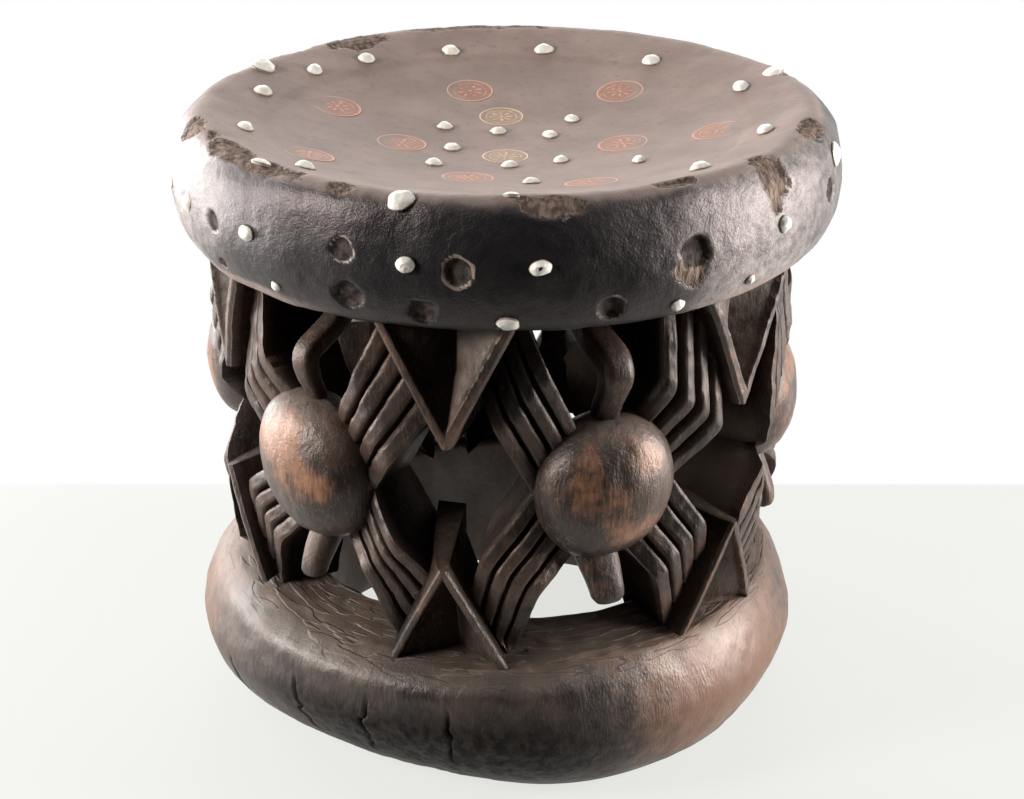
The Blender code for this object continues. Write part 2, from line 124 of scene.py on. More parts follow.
def spline(knots, count):
    """A cubic curve through the knots, as points at even distances along it.

    Its slope at a knot is half the way from the knot before to the knot after.
    """
    knots = np.asarray(knots, float)
    ends = np.vstack([2 * knots[0] - knots[1], knots, 2 * knots[-1] - knots[-2]])
    place = np.linspace(0, len(knots) - 1, SPLINE_SAMPLES * len(knots))
    span = np.minimum(place.astype(int), len(knots) - 2)
    s = (place - span)[:, None]
    a, b, c, d = (ends[span + shift] for shift in range(4))
    curve = b + 0.5 * s * ((c - a) + s * ((2 * a - 5 * b + 4 * c - d) + s * (3 * b - a - 3 * c + d)))
    length = np.append(0, np.cumsum(np.linalg.norm(np.diff(curve, axis=0), axis=1)))
    even = np.linspace(0, length[-1], count)
    return np.stack([np.interp(even, length, column) for column in curve.T], axis=1)


# %% Grids to meshes
def capped(points):
    """Close both ends of a tube with a row at the middle of its first and last ring."""
    ends = [np.broadcast_to(row.mean(axis=0), row.shape)[None] for row in (points[0], points[-1])]
    return np.concatenate([ends[0], points, ends[1]])


def quads(rows, columns, ring):
    """Corner numbers of a grid's faces. Columns close on themselves, and so do the rows of a ring."""
    here = np.arange(rows * columns).reshape(rows, columns)
    if ring:
        here = np.vstack([here, here[:1]])
    right = np.roll(here, -1, axis=1)
    return np.stack([here[:-1], right[:-1], right[1:], here[1:]], axis=-1).reshape(-1, 4)


WELD = 1e-6


def make_piece(name, shells, finish, slot, *nodes, ring=False, sharp=None):
    """Pour closed grids into one mesh that rides the frame.

    Each shell is a grid of points and a dict of masks, one number per point, for the finish to read.
    """
    points = np.concatenate([grid.reshape(-1, 3) for grid, _ in shells])
    faces, start = [], 0
    for grid, _ in shells:
        faces.append(quads(*grid.shape[:2], ring) + start)
        start += grid.shape[0] * grid.shape[1]
    faces = np.concatenate(faces)
    mesh = bpy.data.meshes.new(name)
    mesh.vertices.add(len(points))
    mesh.vertices.foreach_set("co", points.ravel())
    mesh.loops.add(faces.size)
    mesh.loops.foreach_set("vertex_index", faces.ravel())
    mesh.polygons.add(len(faces))
    mesh.polygons.foreach_set("loop_start", np.arange(0, faces.size, 4))
    mesh.update(calc_edges=True)
    for mask in shells[0][1]:
        values = [np.broadcast_to(masks[mask], grid.shape[:2]).ravel() for grid, masks in shells]
        attribute = mesh.attributes.new(mask, "FLOAT", "POINT")
        attribute.data.foreach_set("value", np.concatenate(values).astype(np.float32))
    welded = bmesh.new()
    welded.from_mesh(mesh)
    bmesh.ops.remove_doubles(welded, verts=welded.verts, dist=WELD)
    bmesh.ops.recalc_face_normals(welded, faces=welded.faces)
    welded.to_mesh(mesh)
    welded.free()
    mesh.shade_smooth()
    if sharp:
        mesh.set_sharp_from_angle(angle=np.radians(sharp))
    mesh.materials.append(finish)
    made = bpy.data.objects.new(name, mesh)
    bpy.context.collection.objects.link(made)
    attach(made, "root")
    if nodes:
        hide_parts(*nodes)
    return made


# %% [markdown]
# ## Helpers for finishes
# A finish is a node tree. Wiring nodes by hand is long-winded, so a small class adds the nodes and
# returns what comes out of them. Patterns read Object coordinates, which are metres in the frame, and the
# masks that each mesh carries: where it is worn, dusty, chipped or sunk.


# %% A finish builder
class Finish:
    """A material under construction; each method adds nodes and returns what comes out of them."""

    def __init__(self, name):
        self.material = bpy.data.materials.new(name)
        self.material.use_nodes = True
        self.tree = self.material.node_tree
        self.shader = self.tree.nodes["Principled BSDF"]
        self.place = self.node("TexCoord", output="Object")

    def wire(self, node, sockets):
        """Link or set a node's inputs, which are given by name or by number."""
        for key, value in sockets.items():
            socket = node.inputs[key if isinstance(key, int) else key.replace("_", " ")]
            if isinstance(value, bpy.types.NodeSocket):
                self.tree.links.new(value, socket)
            else:
                socket.default_value = value

    def node(self, kind, output=0, settings=None, numbered=None, **sockets):
        """Add one node with its settings and inputs."""
        made = self.tree.nodes.new("ShaderNode" + kind)
        for key, value in (settings or {}).items():
            setattr(made, key, value)
        self.wire(made, sockets)
        self.wire(made, numbered or {})
        return made.outputs[output]

    def mask(self, name):
        """A number that the mesh carries at each of its points."""
        return self.node("Attribute", output="Fac", settings={"attribute_name": name})

    def noise(self, scale, detail=4.0, stretch=(1, 1, 1), roughness=0.55, shift=0.0):
        """Noise over Object coordinates, with about `scale` lumps to the metre."""
        place = self.node("Mapping", Vector=self.place, Scale=stretch, Location=(shift, shift, shift))
        return self.node("TexNoise", Vector=place, Scale=scale, Detail=detail, Roughness=roughness)

    def between(self, value, low, high):
        """0 below low, 1 above high, smooth between."""
        sockets = {"Value": value, "From_Min": low, "From_Max": high}
        return self.node("MapRange", settings={"interpolation_type": "SMOOTHSTEP"}, **sockets)

    def maths(self, operation, a, b=0.0):
        """One operation on one or two numbers."""
        return self.node("Math", settings={"operation": operation}, numbered={0: a, 1: b})

    def times(self, a, b):
        return self.maths("MULTIPLY", a, b)

    def plus(self, a, b):
        return self.maths("ADD", a, b)

    def level(self, share, a, b):
        """A number between a and b."""
        return self.node("Mix", numbered={0: share, 2: a, 3: b})

    def blend(self, share, a, b):
        """A colour between a and b."""
        colours = [value if isinstance(value, bpy.types.NodeSocket) else (*value, 1.0) for value in (a, b)]
        sockets = {0: share, 6: colours[0], 7: colours[1]}
        return self.node("Mix", output=2, settings={"data_type": "RGBA"}, numbered=sockets)

    def cover(self, colour, share, tint, amount):
        """Lay a tint over a colour where the share is high, by the amount at most."""
        return self.blend(self.times(share, amount), colour, tint)

    def lines(self, field, width):
        """Thin lines along the middle level of a noise: 1 on a line, 0 from the width on."""
        off_line = self.maths("ABSOLUTE", self.maths("SUBTRACT", field, 0.5))
        return self.maths("SUBTRACT", 1.0, self.between(off_line, 0.0, width))

    def ragged(self, mask, weight, pattern, strength, low, high):
        """A mask with a broken border: mask and pattern are weighed and added, and the sum is stepped."""
        total = self.plus(self.times(self.mask(mask), weight), self.times(pattern, strength))
        return self.between(total, low, high)

    def bump(self, height, distance, under=None):
        """A normal tilted by a height in metres, on top of another bump where one is given."""
        sockets = {"Height": height, "Distance": distance, "Strength": 1.0}
        if under:
            sockets["Normal"] = under
        return self.node("Bump", **sockets)

    def done(self, **sockets):
        """Wire the shader and hand over the material."""
        self.wire(self.shader, sockets)
        return self.material


# %% [markdown]
# ## Wood
# The drum is old hardwood, black with handling and smoke. Where hands and feet rub, on ridges and full
# bodies, the black wears through to a red-brown. Pale scratches cross it, and grey dust settles in grooves
# and where legs meet a body. Hollows, grooves, inner walls and the planes turned from the lamps are made
# near black and matt, partly soot and partly painted shade. This could be painted by hand on an unwrapped
# mesh, but patterns and masks follow every shape at once. So the colour is layered: dark wood with streaks
# along the log (up the Z axis), then wear, scratches, dust, and soot with painted shade.


# %% Carved wood
def carved_finish():
    """Streaked wood whose wear, dust, and soot with painted shade follow the masks `worn`, `dust` and `soot`.
    """
    dark, brown, red = (0.018, 0.0135, 0.0118), (0.086, 0.051, 0.036), (0.27, 0.125, 0.066)
    dust, soot = (0.19, 0.140, 0.110), (0.006, 0.0045, 0.004)
    finish = Finish("carved_wood")
    patches = finish.between(finish.noise(22, 3), 0.38, 0.68)
    streaks = finish.noise(640, 5, stretch=(1, 1, 0.11))
    fine = finish.noise(900, 4)
    grains = finish.noise(150, 6, shift=3.0, roughness=0.65)
    colour = finish.cover(dark, patches, brown, 0.75)
    colour = finish.cover(colour, finish.between(streaks, 0.50, 0.70), brown, 0.5)
    broken = finish.plus(finish.times(streaks, 0.25), finish.times(grains, 0.35))
    broken = finish.plus(broken, finish.times(finish.noise(42, 3, shift=8.0), 0.45))
    colour = finish.cover(colour, finish.ragged("worn", 0.42, broken, 1.0, 0.70, 0.98), red, 0.9)
    scratches = finish.lines(finish.noise(85, 3, stretch=(1, 1, 0.4), shift=12.0), 0.010)
    colour = finish.cover(colour, scratches, dust, 0.4)
    dusty = finish.ragged("dust", 0.7, finish.noise(130, 5, shift=7.0), 0.5, 0.48, 0.95)
    colour = finish.cover(colour, dusty, dust, 0.75)
    # Painted shade: `soot` darkens hollows, grooves, inner walls and planes turned from the lamps to near
    # black.
    sooty = finish.times(finish.mask("soot"), finish.level(grains, 0.7, 1.0))
    colour = finish.blend(sooty, colour, soot)
    clean = finish.level(finish.noise(45, 3, shift=1.0), 0.27, 0.47)
    rough = finish.level(sooty, finish.level(dusty, clean, 0.8), 0.75)
    height = finish.bump(fine, 0.00016, finish.bump(grains, 0.0006, finish.bump(streaks, 0.0003)))
    gloss = finish.level(finish.between(sooty, 0.0, 0.6), 0.62, 0.0)
    glow = {"Specular_IOR_Level": gloss, "Specular_Tint": (1.0, 0.84, 0.76, 1.0)}
    return finish.done(Base_Color=colour, Roughness=rough, Normal=height, **glow)


carved_wood = carved_finish()
print("finish", carved_wood.name, len(carved_wood.node_tree.nodes), "nodes")

# %% [markdown]
# The ring is the same log, but it is scuffed by the ground: its lower front is darkened with soot and
# painted shade and is dull, its sides are rubbed brown with painted light in that brown, and its sloping top
# is matt and keeps the strokes of the blade. Cracks run up its front.
# Noise alone would spread strokes and cracks everywhere. They lie at places of their own, so they are
# masks on the mesh.


# %% Ring wood
def ring_finish():
    """Ring wood by its masks: `worn` is rubbed sides with painted light, `soot` painted shade on the front,
    scored `top`, `dust` and `crack`.

    The scores follow the ring: their noise runs over the masks `around` and `inward`, which hold metres.
    """
    black, dark, pale = (0.011, 0.0085, 0.0078), (0.040, 0.027, 0.021), (0.082, 0.058, 0.046)
    red, top_wood, score = (0.165, 0.078, 0.043), (0.098, 0.068, 0.052), (0.20, 0.140, 0.098)
    dust, soot, gap = (0.17, 0.120, 0.088), (0.009, 0.008, 0.0076), (0.003, 0.003, 0.003)
    finish = Finish("base_wood")
    top = finish.mask("top")
    patches = finish.between(finish.noise(26, 6, roughness=0.62), 0.40, 0.64)
    pores = finish.noise(760, 5, stretch=(1, 1, 0.16))
    grains = finish.noise(170, 6, shift=2.0, roughness=0.65)
    colour = finish.blend(patches, black, dark)
    colour = finish.cover(colour, finish.between(pores, 0.5, 0.72), pale, 0.45)
    broken = finish.plus(finish.times(finish.noise(48, 5, shift=5.0), 0.55), finish.times(grains, 0.45))
    # On the ring, the `worn` mask is rubbed wear with painted light on the sides.
    colour = finish.cover(colour, finish.ragged("worn", 0.5, broken, 1.0, 0.62, 1.02), red, 0.85)
    flat = finish.node("CombineXYZ", X=finish.times(finish.mask("around"), 0.16), Y=finish.mask("inward"))
    field = finish.node("TexNoise", Vector=flat, Scale=210.0, Detail=1.6, Roughness=0.45)
    colour = finish.cover(colour, top, top_wood, 0.4)
    colour = finish.cover(colour, finish.times(finish.lines(field, 0.016), top), score, 0.5)
    dusty = finish.ragged("dust", 0.8, finish.noise(210, 5, shift=9.0), 0.4, 0.45, 1.0)
    colour = finish.cover(colour, dusty, dust, 0.7)
    # Painted shade: `soot` darkens the ring's lower front.
    sooty = finish.times(finish.mask("soot"), finish.level(finish.between(grains, 0.4, 0.62), 1.0, 0.75))
    colour = finish.cover(colour, sooty, soot, 0.9)
    colour = finish.blend(finish.between(finish.mask("crack"), 0.35, 0.75), colour, gap)
    dull = finish.maths("MAXIMUM", finish.times(top, 0.75), sooty)
    rough = finish.level(dusty, finish.level(dull, finish.level(patches, 0.36, 0.52), 0.62), 0.8)
    grained = finish.bump(grains, finish.level(sooty, 0.0003, 0.0009), finish.bump(pores, 0.0003))
    height = finish.bump(finish.times(finish.between(field, 0.5, 0.56), top), 0.0006, grained)
    gloss = finish.level(sooty, finish.level(top, 0.7, 0.42), 0.08)
    glow = {"Specular_IOR_Level": gloss, "Specular_Tint": (1.0, 0.86, 0.78, 1.0)}
    return finish.done(Base_Color=colour, Roughness=rough, Normal=height, **glow)


base_wood = ring_finish()
print("finish", base_wood.name, len(base_wood.node_tree.nodes), "nodes")

# %% [markdown]
# ## The coat, the coins and the shell
# The seat wears a hard black coat, like pitch. It is glossy and lumpy on the side, with a pale sheen painted
# on to the left and the right of the camera's view, and rubbed to a dull warm grey in the dish. Where it has
# chipped off, rough brown wood shows. Each look could be a material of its own, but one material with masks
# lets them run into each other without a seam. Coins are worn almost flat, darker in their low places. Shell
# is cream white with brown dirt.


# %% Coat
def coat_finish():
    """Black coat: `dish` is the dull dish, `painted_sheen` a pale painted highlight on the sides, `chip` bare
    wood and `dust` dirt.

    `socket` is the dark inside of an empty socket, partly painted shade in the dent, and `lip` its pale edge.
    """
    black, dark, grit = (0.0095, 0.0095, 0.0105), (0.024, 0.022, 0.021), (0.10, 0.085, 0.075)
    dish_dark, dish_pale, dish_grit = (0.222, 0.162, 0.136), (0.30, 0.222, 0.188), (0.42, 0.36, 0.32)
    dish_spot, painted_sheen, dust = (0.13, 0.093, 0.077), (0.37, 0.315, 0.29), (0.27, 0.21, 0.18)
    wood_dark, wood_pale, lip_wood = (0.062, 0.043, 0.033), (0.26, 0.180, 0.132), (0.30, 0.225, 0.175)
    shaded_hole_black, shaded_hole_brown = (0.006, 0.005, 0.005), (0.06, 0.046, 0.038)
    finish = Finish("black_coat")
    inside = finish.mask("dish")
    lumps = finish.noise(170, 5)
    specks = finish.noise(900, 4)
    cloud = finish.noise(28, 4, shift=4.0)
    gritty = finish.between(specks, 0.62, 0.76)
    side = finish.blend(finish.between(cloud, 0.45, 0.75), black, dark)
    side = finish.cover(side, gritty, grit, 0.4)
    dish = finish.blend(finish.between(cloud, 0.3, 0.75), dish_dark, dish_pale)
    dish = finish.cover(dish, gritty, dish_grit, 0.3)
    dish = finish.cover(dish, finish.between(lumps, 0.56, 0.70), dish_spot, 0.3)
    colour = finish.blend(inside, side, dish)
    # Painted sheen: a pale colour laid in patches on the coat's sides, where lamps would shine in it.
    patchy = finish.plus(finish.times(lumps, 0.6), finish.times(finish.plus(specks, cloud), 0.45))
    sheen_share = finish.times(finish.mask("painted_sheen"), finish.between(patchy, 0.45, 1.05))
    colour = finish.blend(sheen_share, colour, painted_sheen)
    dusty = finish.ragged("dust", 0.8, lumps, 0.45, 0.5, 0.95)
    colour = finish.cover(colour, dusty, dust, 0.8)
    torn = finish.maths("SUBTRACT", finish.noise(260, 5), 0.5)
    bare = finish.ragged("chip", 1.0, torn, 0.9, 0.02, 0.12)
    fibres = finish.noise(330, 6, stretch=(1, 1, 0.3), shift=6.0)
    wood = finish.blend(finish.between(fibres, 0.35, 0.72), wood_dark, wood_pale)
    colour = finish.blend(bare, colour, wood)
    # Painted shade: a sunk socket is darkened inside, partly as shade in the dent.
    sunk = finish.between(finish.mask("socket"), 0.25, 0.6)
    hole = finish.blend(finish.between(lumps, 0.4, 0.62), shaded_hole_black, shaded_hole_brown)
    colour = finish.blend(sunk, colour, hole)
    colour = finish.cover(colour, finish.ragged("lip", 1.0, lumps, 0.5, 0.62, 0.9), lip_wood, 0.8)
    rough = finish.level(inside, finish.level(lumps, 0.28, 0.50), 0.7)
    rough = finish.level(dusty, rough, 0.75)
    rough = finish.level(finish.maths("MAXIMUM", bare, sunk), rough, 0.85)
    wavy = finish.bump(lumps, finish.level(inside, 0.0006, 0.0003))
    height = finish.bump(finish.times(fibres, bare), 0.0018, finish.bump(specks, 0.00028, wavy))
    glow = {"Specular_IOR_Level": finish.level(inside, 0.48, 0.3), "Specular_Tint": (1.0, 0.80, 0.76, 1.0)}
    return finish.done(Base_Color=colour, Roughness=rough, Normal=height, **glow)


black_coat = coat_finish()
print("finish", black_coat.name, len(black_coat.node_tree.nodes), "nodes")


# %% Bare seat wood, coins and shell
def plain_wood_finish():
    """The seat's underside: adzed brown wood."""
    finish = Finish("seat_wood")
    streaks = finish.noise(120, 5, stretch=(1, 0.08, 1))
    colour = finish.blend(streaks, (0.030, 0.020, 0.015), (0.115, 0.072, 0.048))
    rough = finish.level(streaks, 0.6, 0.8)
    return finish.done(Base_Color=colour, Roughness=rough, Normal=finish.bump(streaks, 0.001))


def coin_finish(name, low, field, raised):
    """Worn metal: the mask `relief` runs from dirty low places to rubbed high ones."""
    finish = Finish(name)
    dirt = finish.noise(380, 5)
    relief = finish.plus(finish.mask("relief"), finish.times(finish.maths("SUBTRACT", dirt, 0.5), 0.7))
    colour = finish.blend(finish.between(relief, 0.05, 0.45), low, field)
    colour = finish.blend(finish.between(relief, 0.45, 0.95), colour, raised)
    rough = finish.level(dirt, 0.55, 0.75)
    sockets = {"Base_Color": colour, "Roughness": rough, "Metallic": 0.08, "Specular_IOR_Level": 0.3}
    return finish.done(Normal=finish.bump(dirt, 0.0002), **sockets)


def shell_finish():
    """Cream shell with brown dirt; the mask `dust` is the dirty edge and the drilled hole."""
    finish = Finish("shell_white")
    cloud = finish.noise(260, 4)
    colour = finish.blend(finish.between(cloud, 0.35, 0.7), (0.72, 0.66, 0.56), (0.84, 0.80, 0.73))
    dirt = finish.ragged("dust", 1.0, cloud, 0.35, 0.55, 1.05)
    colour = finish.blend(dirt, colour, (0.16, 0.10, 0.06))
    return finish.done(Base_Color=colour, Roughness=0.38, Normal=finish.bump(cloud, 0.0005))


seat_wood = plain_wood_finish()
coin_copper = coin_finish("coin_copper", (0.27, 0.128, 0.086), (0.50, 0.240, 0.155), (0.60, 0.32, 0.215))
coin_brass = coin_finish("coin_brass", (0.28, 0.180, 0.112), (0.55, 0.365, 0.235), (0.66, 0.47, 0.32))
shell_white = shell_finish()
print("finishes", sorted(made.name for made in bpy.data.materials))

# %% [markdown]
# ## The seat
# A thick disc with a bulging side and a deep dish, turned by eye and never quite round. It could be
# sculpted from a cylinder, but one profile swept round the axis keeps the place of every point known. The
# dish is part of a sphere, and a spline goes over the crest and down the side. Lost studs left sockets,
# and knocks left chips along the rim: both push the surface in along its normal.

# %% Seat profile
COLUMNS = 640
DISH_ROWS = 46
SIDE_ROWS = 92
OVAL = 0.016
SIDE_SWELL = 0.0052
# The camera stands this many degrees round from the front, towards +X
VIEW_TURN = 11.0

# Crest and side, as distance in from the widest radius and height over the underside
SIDE_KNOTS = [
    (0.0500, 0.0648), (0.0340, 0.0700), (0.0240, 0.0734), (0.0170, 0.0752), (0.0110, 0.0742),
    (0.0066, 0.0697), (0.0040, 0.0625), (0.0014, 0.0510), (0.0000, 0.0370), (0.0014, 0.0230),
    (0.0050, 0.0110), (0.0085, 0.0042), (0.0125, 0.0008), (0.0170, 0.0002),
]


def out_of_round(degrees):
    """The seat is an oval: narrower from side to side than from front to back."""
    return 1 - OVAL * (1 - np.cos(np.radians(2 * np.asarray(degrees))))


def side_swell(degrees, z):
    """Below the crest the seat is fuller to the left and the right, as the camera sees it."""
    sideways = 0.5 - 0.5 * np.cos(np.radians(2 * (np.asarray(degrees) - VIEW_TURN)))
    rise = z - SEAT_UNDER
    return SIDE_SWELL * sideways * step(-0.012, 0.022, rise) * (1 - step(0.060, 0.0752, rise))


def seat_profile():
    """Radius and height from the middle of the dish, over the crest and down to the lower edge."""
    knots = np.array([(SEAT_RADIUS - inset, SEAT_UNDER + rise) for inset, rise in SIDE_KNOTS])
    radius = np.linspace(0, knots[0, 0], DISH_ROWS, endpoint=False)
    dish = np.stack([radius, DISH_MIDDLE[2] - np.sqrt(DISH_CURVE**2 - radius**2)], axis=1)
    return np.vstack([dish, spline(knots, SIDE_ROWS)])


def side_radius(z):
    """The side's radius at a height, read off the profile below the crest."""
    side = seat_profile()[DISH_ROWS + SIDE_ROWS // 4:]
    return np.interp(-z, -side[:, 1], side[:, 0])


profile = seat_profile()
along = np.gradient(profile, axis=0)
along /= np.linalg.norm(along, axis=1, keepdims=True)
travel = np.append(0, np.cumsum(np.linalg.norm(np.diff(profile, axis=0), axis=1)))
crest_row = profile[:, 1].argmax()
past_crest = (travel - travel[crest_row])[:, None]
angles = np.linspace(-180, 180, COLUMNS, endpoint=False)[None, :]
swelling = side_swell(angles, profile[:, 1:]) * (past_crest > 0)
smooth_seat = on_drum(angles, profile[:, :1] * out_of_round(angles) + swelling, profile[:, 1:])
normals = on_drum(angles, -along[:, 1:], along[:, :1])
print("seat profile", len(profile), "rows, crest at row", crest_row)

# %% [markdown]
# Sockets and chips could be cut with booleans. A depth at every point does the same without new edges: a
# socket sinks by its distance from a middle, a chip by an oval along the rim, and noise makes both
# ragged. The sockets come twice, half a turn apart.

# %% Sockets
# Empty sockets: angle, height over the underside, radius, how light the lip is
SOCKETS = [
    (-42.3, 0.0400, 0.0062, 0.5), (-41.8, 0.0156, 0.0042, 0.7), (-14.5, 0.0447, 0.0070, 0.8),
    (3.9, 0.0380, 0.0082, 1.0), (-14.0, 0.0187, 0.0098, 0.3), (-1.8, 0.0130, 0.0085, 0.5),
    (27.5, 0.0136, 0.0085, 0.6), (41.5, 0.0390, 0.0105, 0.6), (80.0, 0.0420, 0.0085, 0.5),
    (10.5, 0.0070, 0.0050, 0.6),
]
SOCKET_DEPTH = 0.34
LIP_RISE = 0.0007

sink = np.zeros(smooth_seat.shape[:2])
socket_mask = np.zeros_like(sink)
lip_mask = np.zeros_like(sink)
ragged = noise(smooth_seat, 0.006, 11)
for turn in (0, 180):
    for degrees, rise, radius, light in SOCKETS:
        z = SEAT_UNDER + rise
        reach = side_radius(z) * out_of_round(degrees) + side_swell(degrees, z)
        middle = on_drum(degrees + turn, reach, z)
        near = np.linalg.norm(smooth_seat - middle, axis=-1) / radius + 0.14 * ragged
        hollow = 1 - step(0.72, 1.0, near)
        sink = np.maximum(sink, hollow * SOCKET_DEPTH * radius)
        socket_mask = np.maximum(socket_mask, hollow)
        lip = np.exp(-((near - 1.02) / 0.13) ** 2)
        lip_mask = np.maximum(lip_mask, light * lip)
        sink -= LIP_RISE * lip
print("sockets", 2 * len(SOCKETS))

# %% Chips
# Chips: angle, place along the profile from the crest, half-length round, half-width across, depth
CHIPS = [
    (-40, 0.001, 0.052, 0.0095, 0.0022), (-62, 0.006, 0.016, 0.007, 0.0018),
    (-17, 0.004, 0.009, 0.0055, 0.0015), (19, 0.008, 0.019, 0.0080, 0.0018),
    (40, 0.001, 0.015, 0.0050, 0.0024), (60, 0.013, 0.014, 0.0190, 0.0022),
    (82, 0.004, 0.016, 0.0080, 0.0020), (-135, -0.005, 0.026, 0.0110, 0.0018),
    (-163, 0.0, 0.050, 0.0045, 0.0012), (121, 0.003, 0.014, 0.0050, 0.0012),
    (160, 0.010, 0.020, 0.0070, 0.0015), (-120, 0.006, 0.022, 0.0060, 0.0015),
    (41, 0.052, 0.010, 0.0120, 0.0018),
]


def turn_gap(a, b):
    """The angle from b to a, in -180..180."""
    return (a - b + 180) % 360 - 180


chip_mask = np.full_like(sink, -1.0)
torn = noise(smooth_seat, 0.010, 12) + 0.5 * noise(smooth_seat, 0.004, 13)
for degrees, shift, half_length, half_width, depth in CHIPS:
    round_rim = np.radians(turn_gap(angles, degrees)) * profile[:, :1] / half_length
    inside = 1 - np.hypot(round_rim, (past_crest - shift) / half_width) + 0.32 * torn
    chip_mask = np.maximum(chip_mask, inside)
    sink = np.maximum(sink, depth * step(0.0, 0.22, inside) * (1 + 0.35 * ragged))
print("chips", len(CHIPS), "deepest dent", round(sink.max(), 4))

# %% Coat
COAT_DEPTH = 0.0066
BACK_ROWS = 7
CLEAR = 0.0002

on_side = step(-0.03, 0.0, past_crest)
waves = 0.0014 * noise(smooth_seat, 0.09, 14) + 0.0007 * noise(smooth_seat, 0.022, 15)
sway = on_side * (waves + 0.0002 * ragged)
coat_top = smooth_seat + normals * (sway - sink)[..., None]
rows_inside = np.linspace(len(profile) - 1, 0, BACK_ROWS).astype(int)
coat_back = smooth_seat[rows_inside] - normals[rows_inside] * COAT_DEPTH
coat_back[:, :, 2] = np.maximum(coat_back[:, :, 2], SEAT_UNDER + CLEAR)
coat_grid = np.concatenate([coat_top, coat_back])

from_front = turn_gap(angles, VIEW_TURN)
aside = np.abs(from_front)
low_band = (1 - step(0.004, 0.016, smooth_seat[..., 2] - SEAT_UNDER)) * (0.15 + 0.85 * step(20, 45, aside))
crest_band = np.exp(-((past_crest - 0.004) / 0.007) ** 2)
dish_mask = 1 - step(-0.002, 0.012, past_crest + 0.003 * ragged)
# Painted sheen: the `painted_sheen` mask covers the coat's sides to the right and the left of the camera's
# view.
right_painted_sheen = step(26, 40, from_front) * (1 - step(48, 96, from_front))
left_painted_sheen = 0.75 * step(44, 66, -from_front) * (1 - step(68, 100, -from_front))
coat_masks = {
    "dish": dish_mask,
    "painted_sheen": (right_painted_sheen + left_painted_sheen) * (1 - dish_mask),
    "chip": chip_mask,
    "socket": socket_mask,
    "lip": lip_mask,
    "dust": np.maximum(low_band, 0.75 * crest_band) * (1 - 0.65 * step(85, 125, aside)),
}
for mask, front in coat_masks.items():
    back = np.full(coat_back.shape[:2], -1.0 if mask == "chip" else 0.0)
    coat_masks[mask] = np.concatenate([np.broadcast_to(front, sink.shape), back])
make_piece("seat_coat_skin", [(coat_grid, coat_masks)], black_coat, "black_coat", "seat_coat")
print("coat", coat_grid.shape)

# %% [markdown]
# Under the coat lies the wooden slab. Only its underside shows, from below, so a simple swept profile
# with adze marks is enough.

# %% Slab
SLAB_COLUMNS = 160
ADZE_DEPTH = 0.0008
# Distance from the axis and height: under the dish, round the side, then along the underside to the middle
slab_knots = np.array([
    (0.0, SEAT_TOP - DISH_DEPTH - 0.006), (0.09, SEAT_TOP - DISH_DEPTH + 0.002), (0.165, SEAT_TOP - 0.013),
    (0.183, SEAT_TOP - 0.012), (0.192, SEAT_UNDER + 0.040), (0.186, SEAT_UNDER + 0.006), (0.181, SEAT_UNDER),
    (0.09, SEAT_UNDER), (0.0, SEAT_UNDER),
])
slab_angles = np.linspace(0, 360, SLAB_COLUMNS, endpoint=False)[None, :]
slab_profile = np.vstack([slab_knots[:6], spline(slab_knots[6:], 28)])
slab_grid = on_drum(slab_angles, slab_profile[:, :1], slab_profile[:, 1:])
flat_under = slab_grid[..., 2] < SEAT_UNDER + 0.001
slab_grid[..., 2] += flat_under * ADZE_DEPTH * (1 + noise(slab_grid * [1, 0.3, 1], 0.012, 21))
make_piece("seat_slab_wood", [(slab_grid, {})], seat_wood, "seat_wood", "seat_slab")
print("slab", slab_grid.shape)

# %% [markdown]
# ## Inlays
# Coins and shell studs were pressed into the coat. They could be copies of one model, but no two are
# alike, so each is poured from a formula with its own seed. Its place is the middle of its solid. On the
# dish a piece lies square to the sphere, and on the side square to the bulge. A coin is a disc whose
# height is a formula of its own polar grid: lip, beads, and a worn rosette. A stud is a low dome with a
# lumpy outline.


# %% Places on the seat
def local_frame(out):
    """Two directions along the surface and the one out of it."""
    across = np.cross([0, 0, 1], out)
    across /= np.linalg.norm(across)
    return np.stack([across, np.cross(out, across), out])


def dish_place(degrees, radius):
    """A point of the dish and its frame, facing the middle of the sphere."""
    round_radius = radius / out_of_round(degrees)
    point = on_drum(degrees, radius, np.interp(round_radius, profile[:crest_row, 0], profile[:crest_row, 1]))
    out = DISH_MIDDLE - point
    return point, local_frame(out / np.linalg.norm(out))


def side_place(degrees, z):
    """A point of the seat's side and its frame."""
    slope = (side_radius(z + 0.001) - side_radius(z - 0.001)) / 0.002
    out = on_drum(degrees, 1.0, -slope)
    radius = side_radius(z) * out_of_round(degrees) + side_swell(degrees, z)
    return on_drum(degrees, radius, z), local_frame(out / np.linalg.norm(out))


def node_polar(name):
    """Angle, distance from the axis and height of the middle of a solid."""
    low, high = (np.array(corner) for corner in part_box(name))
    x, y, z = (low + high) / 2
    return np.degrees(np.arctan2(x, -y)), np.hypot(x, y), z


# %% Coins
COIN_DEPTH = 0.0016
COIN_PROUD = 0.0004
RELIEF = 0.00028
BEADS = 44
PETALS = 8


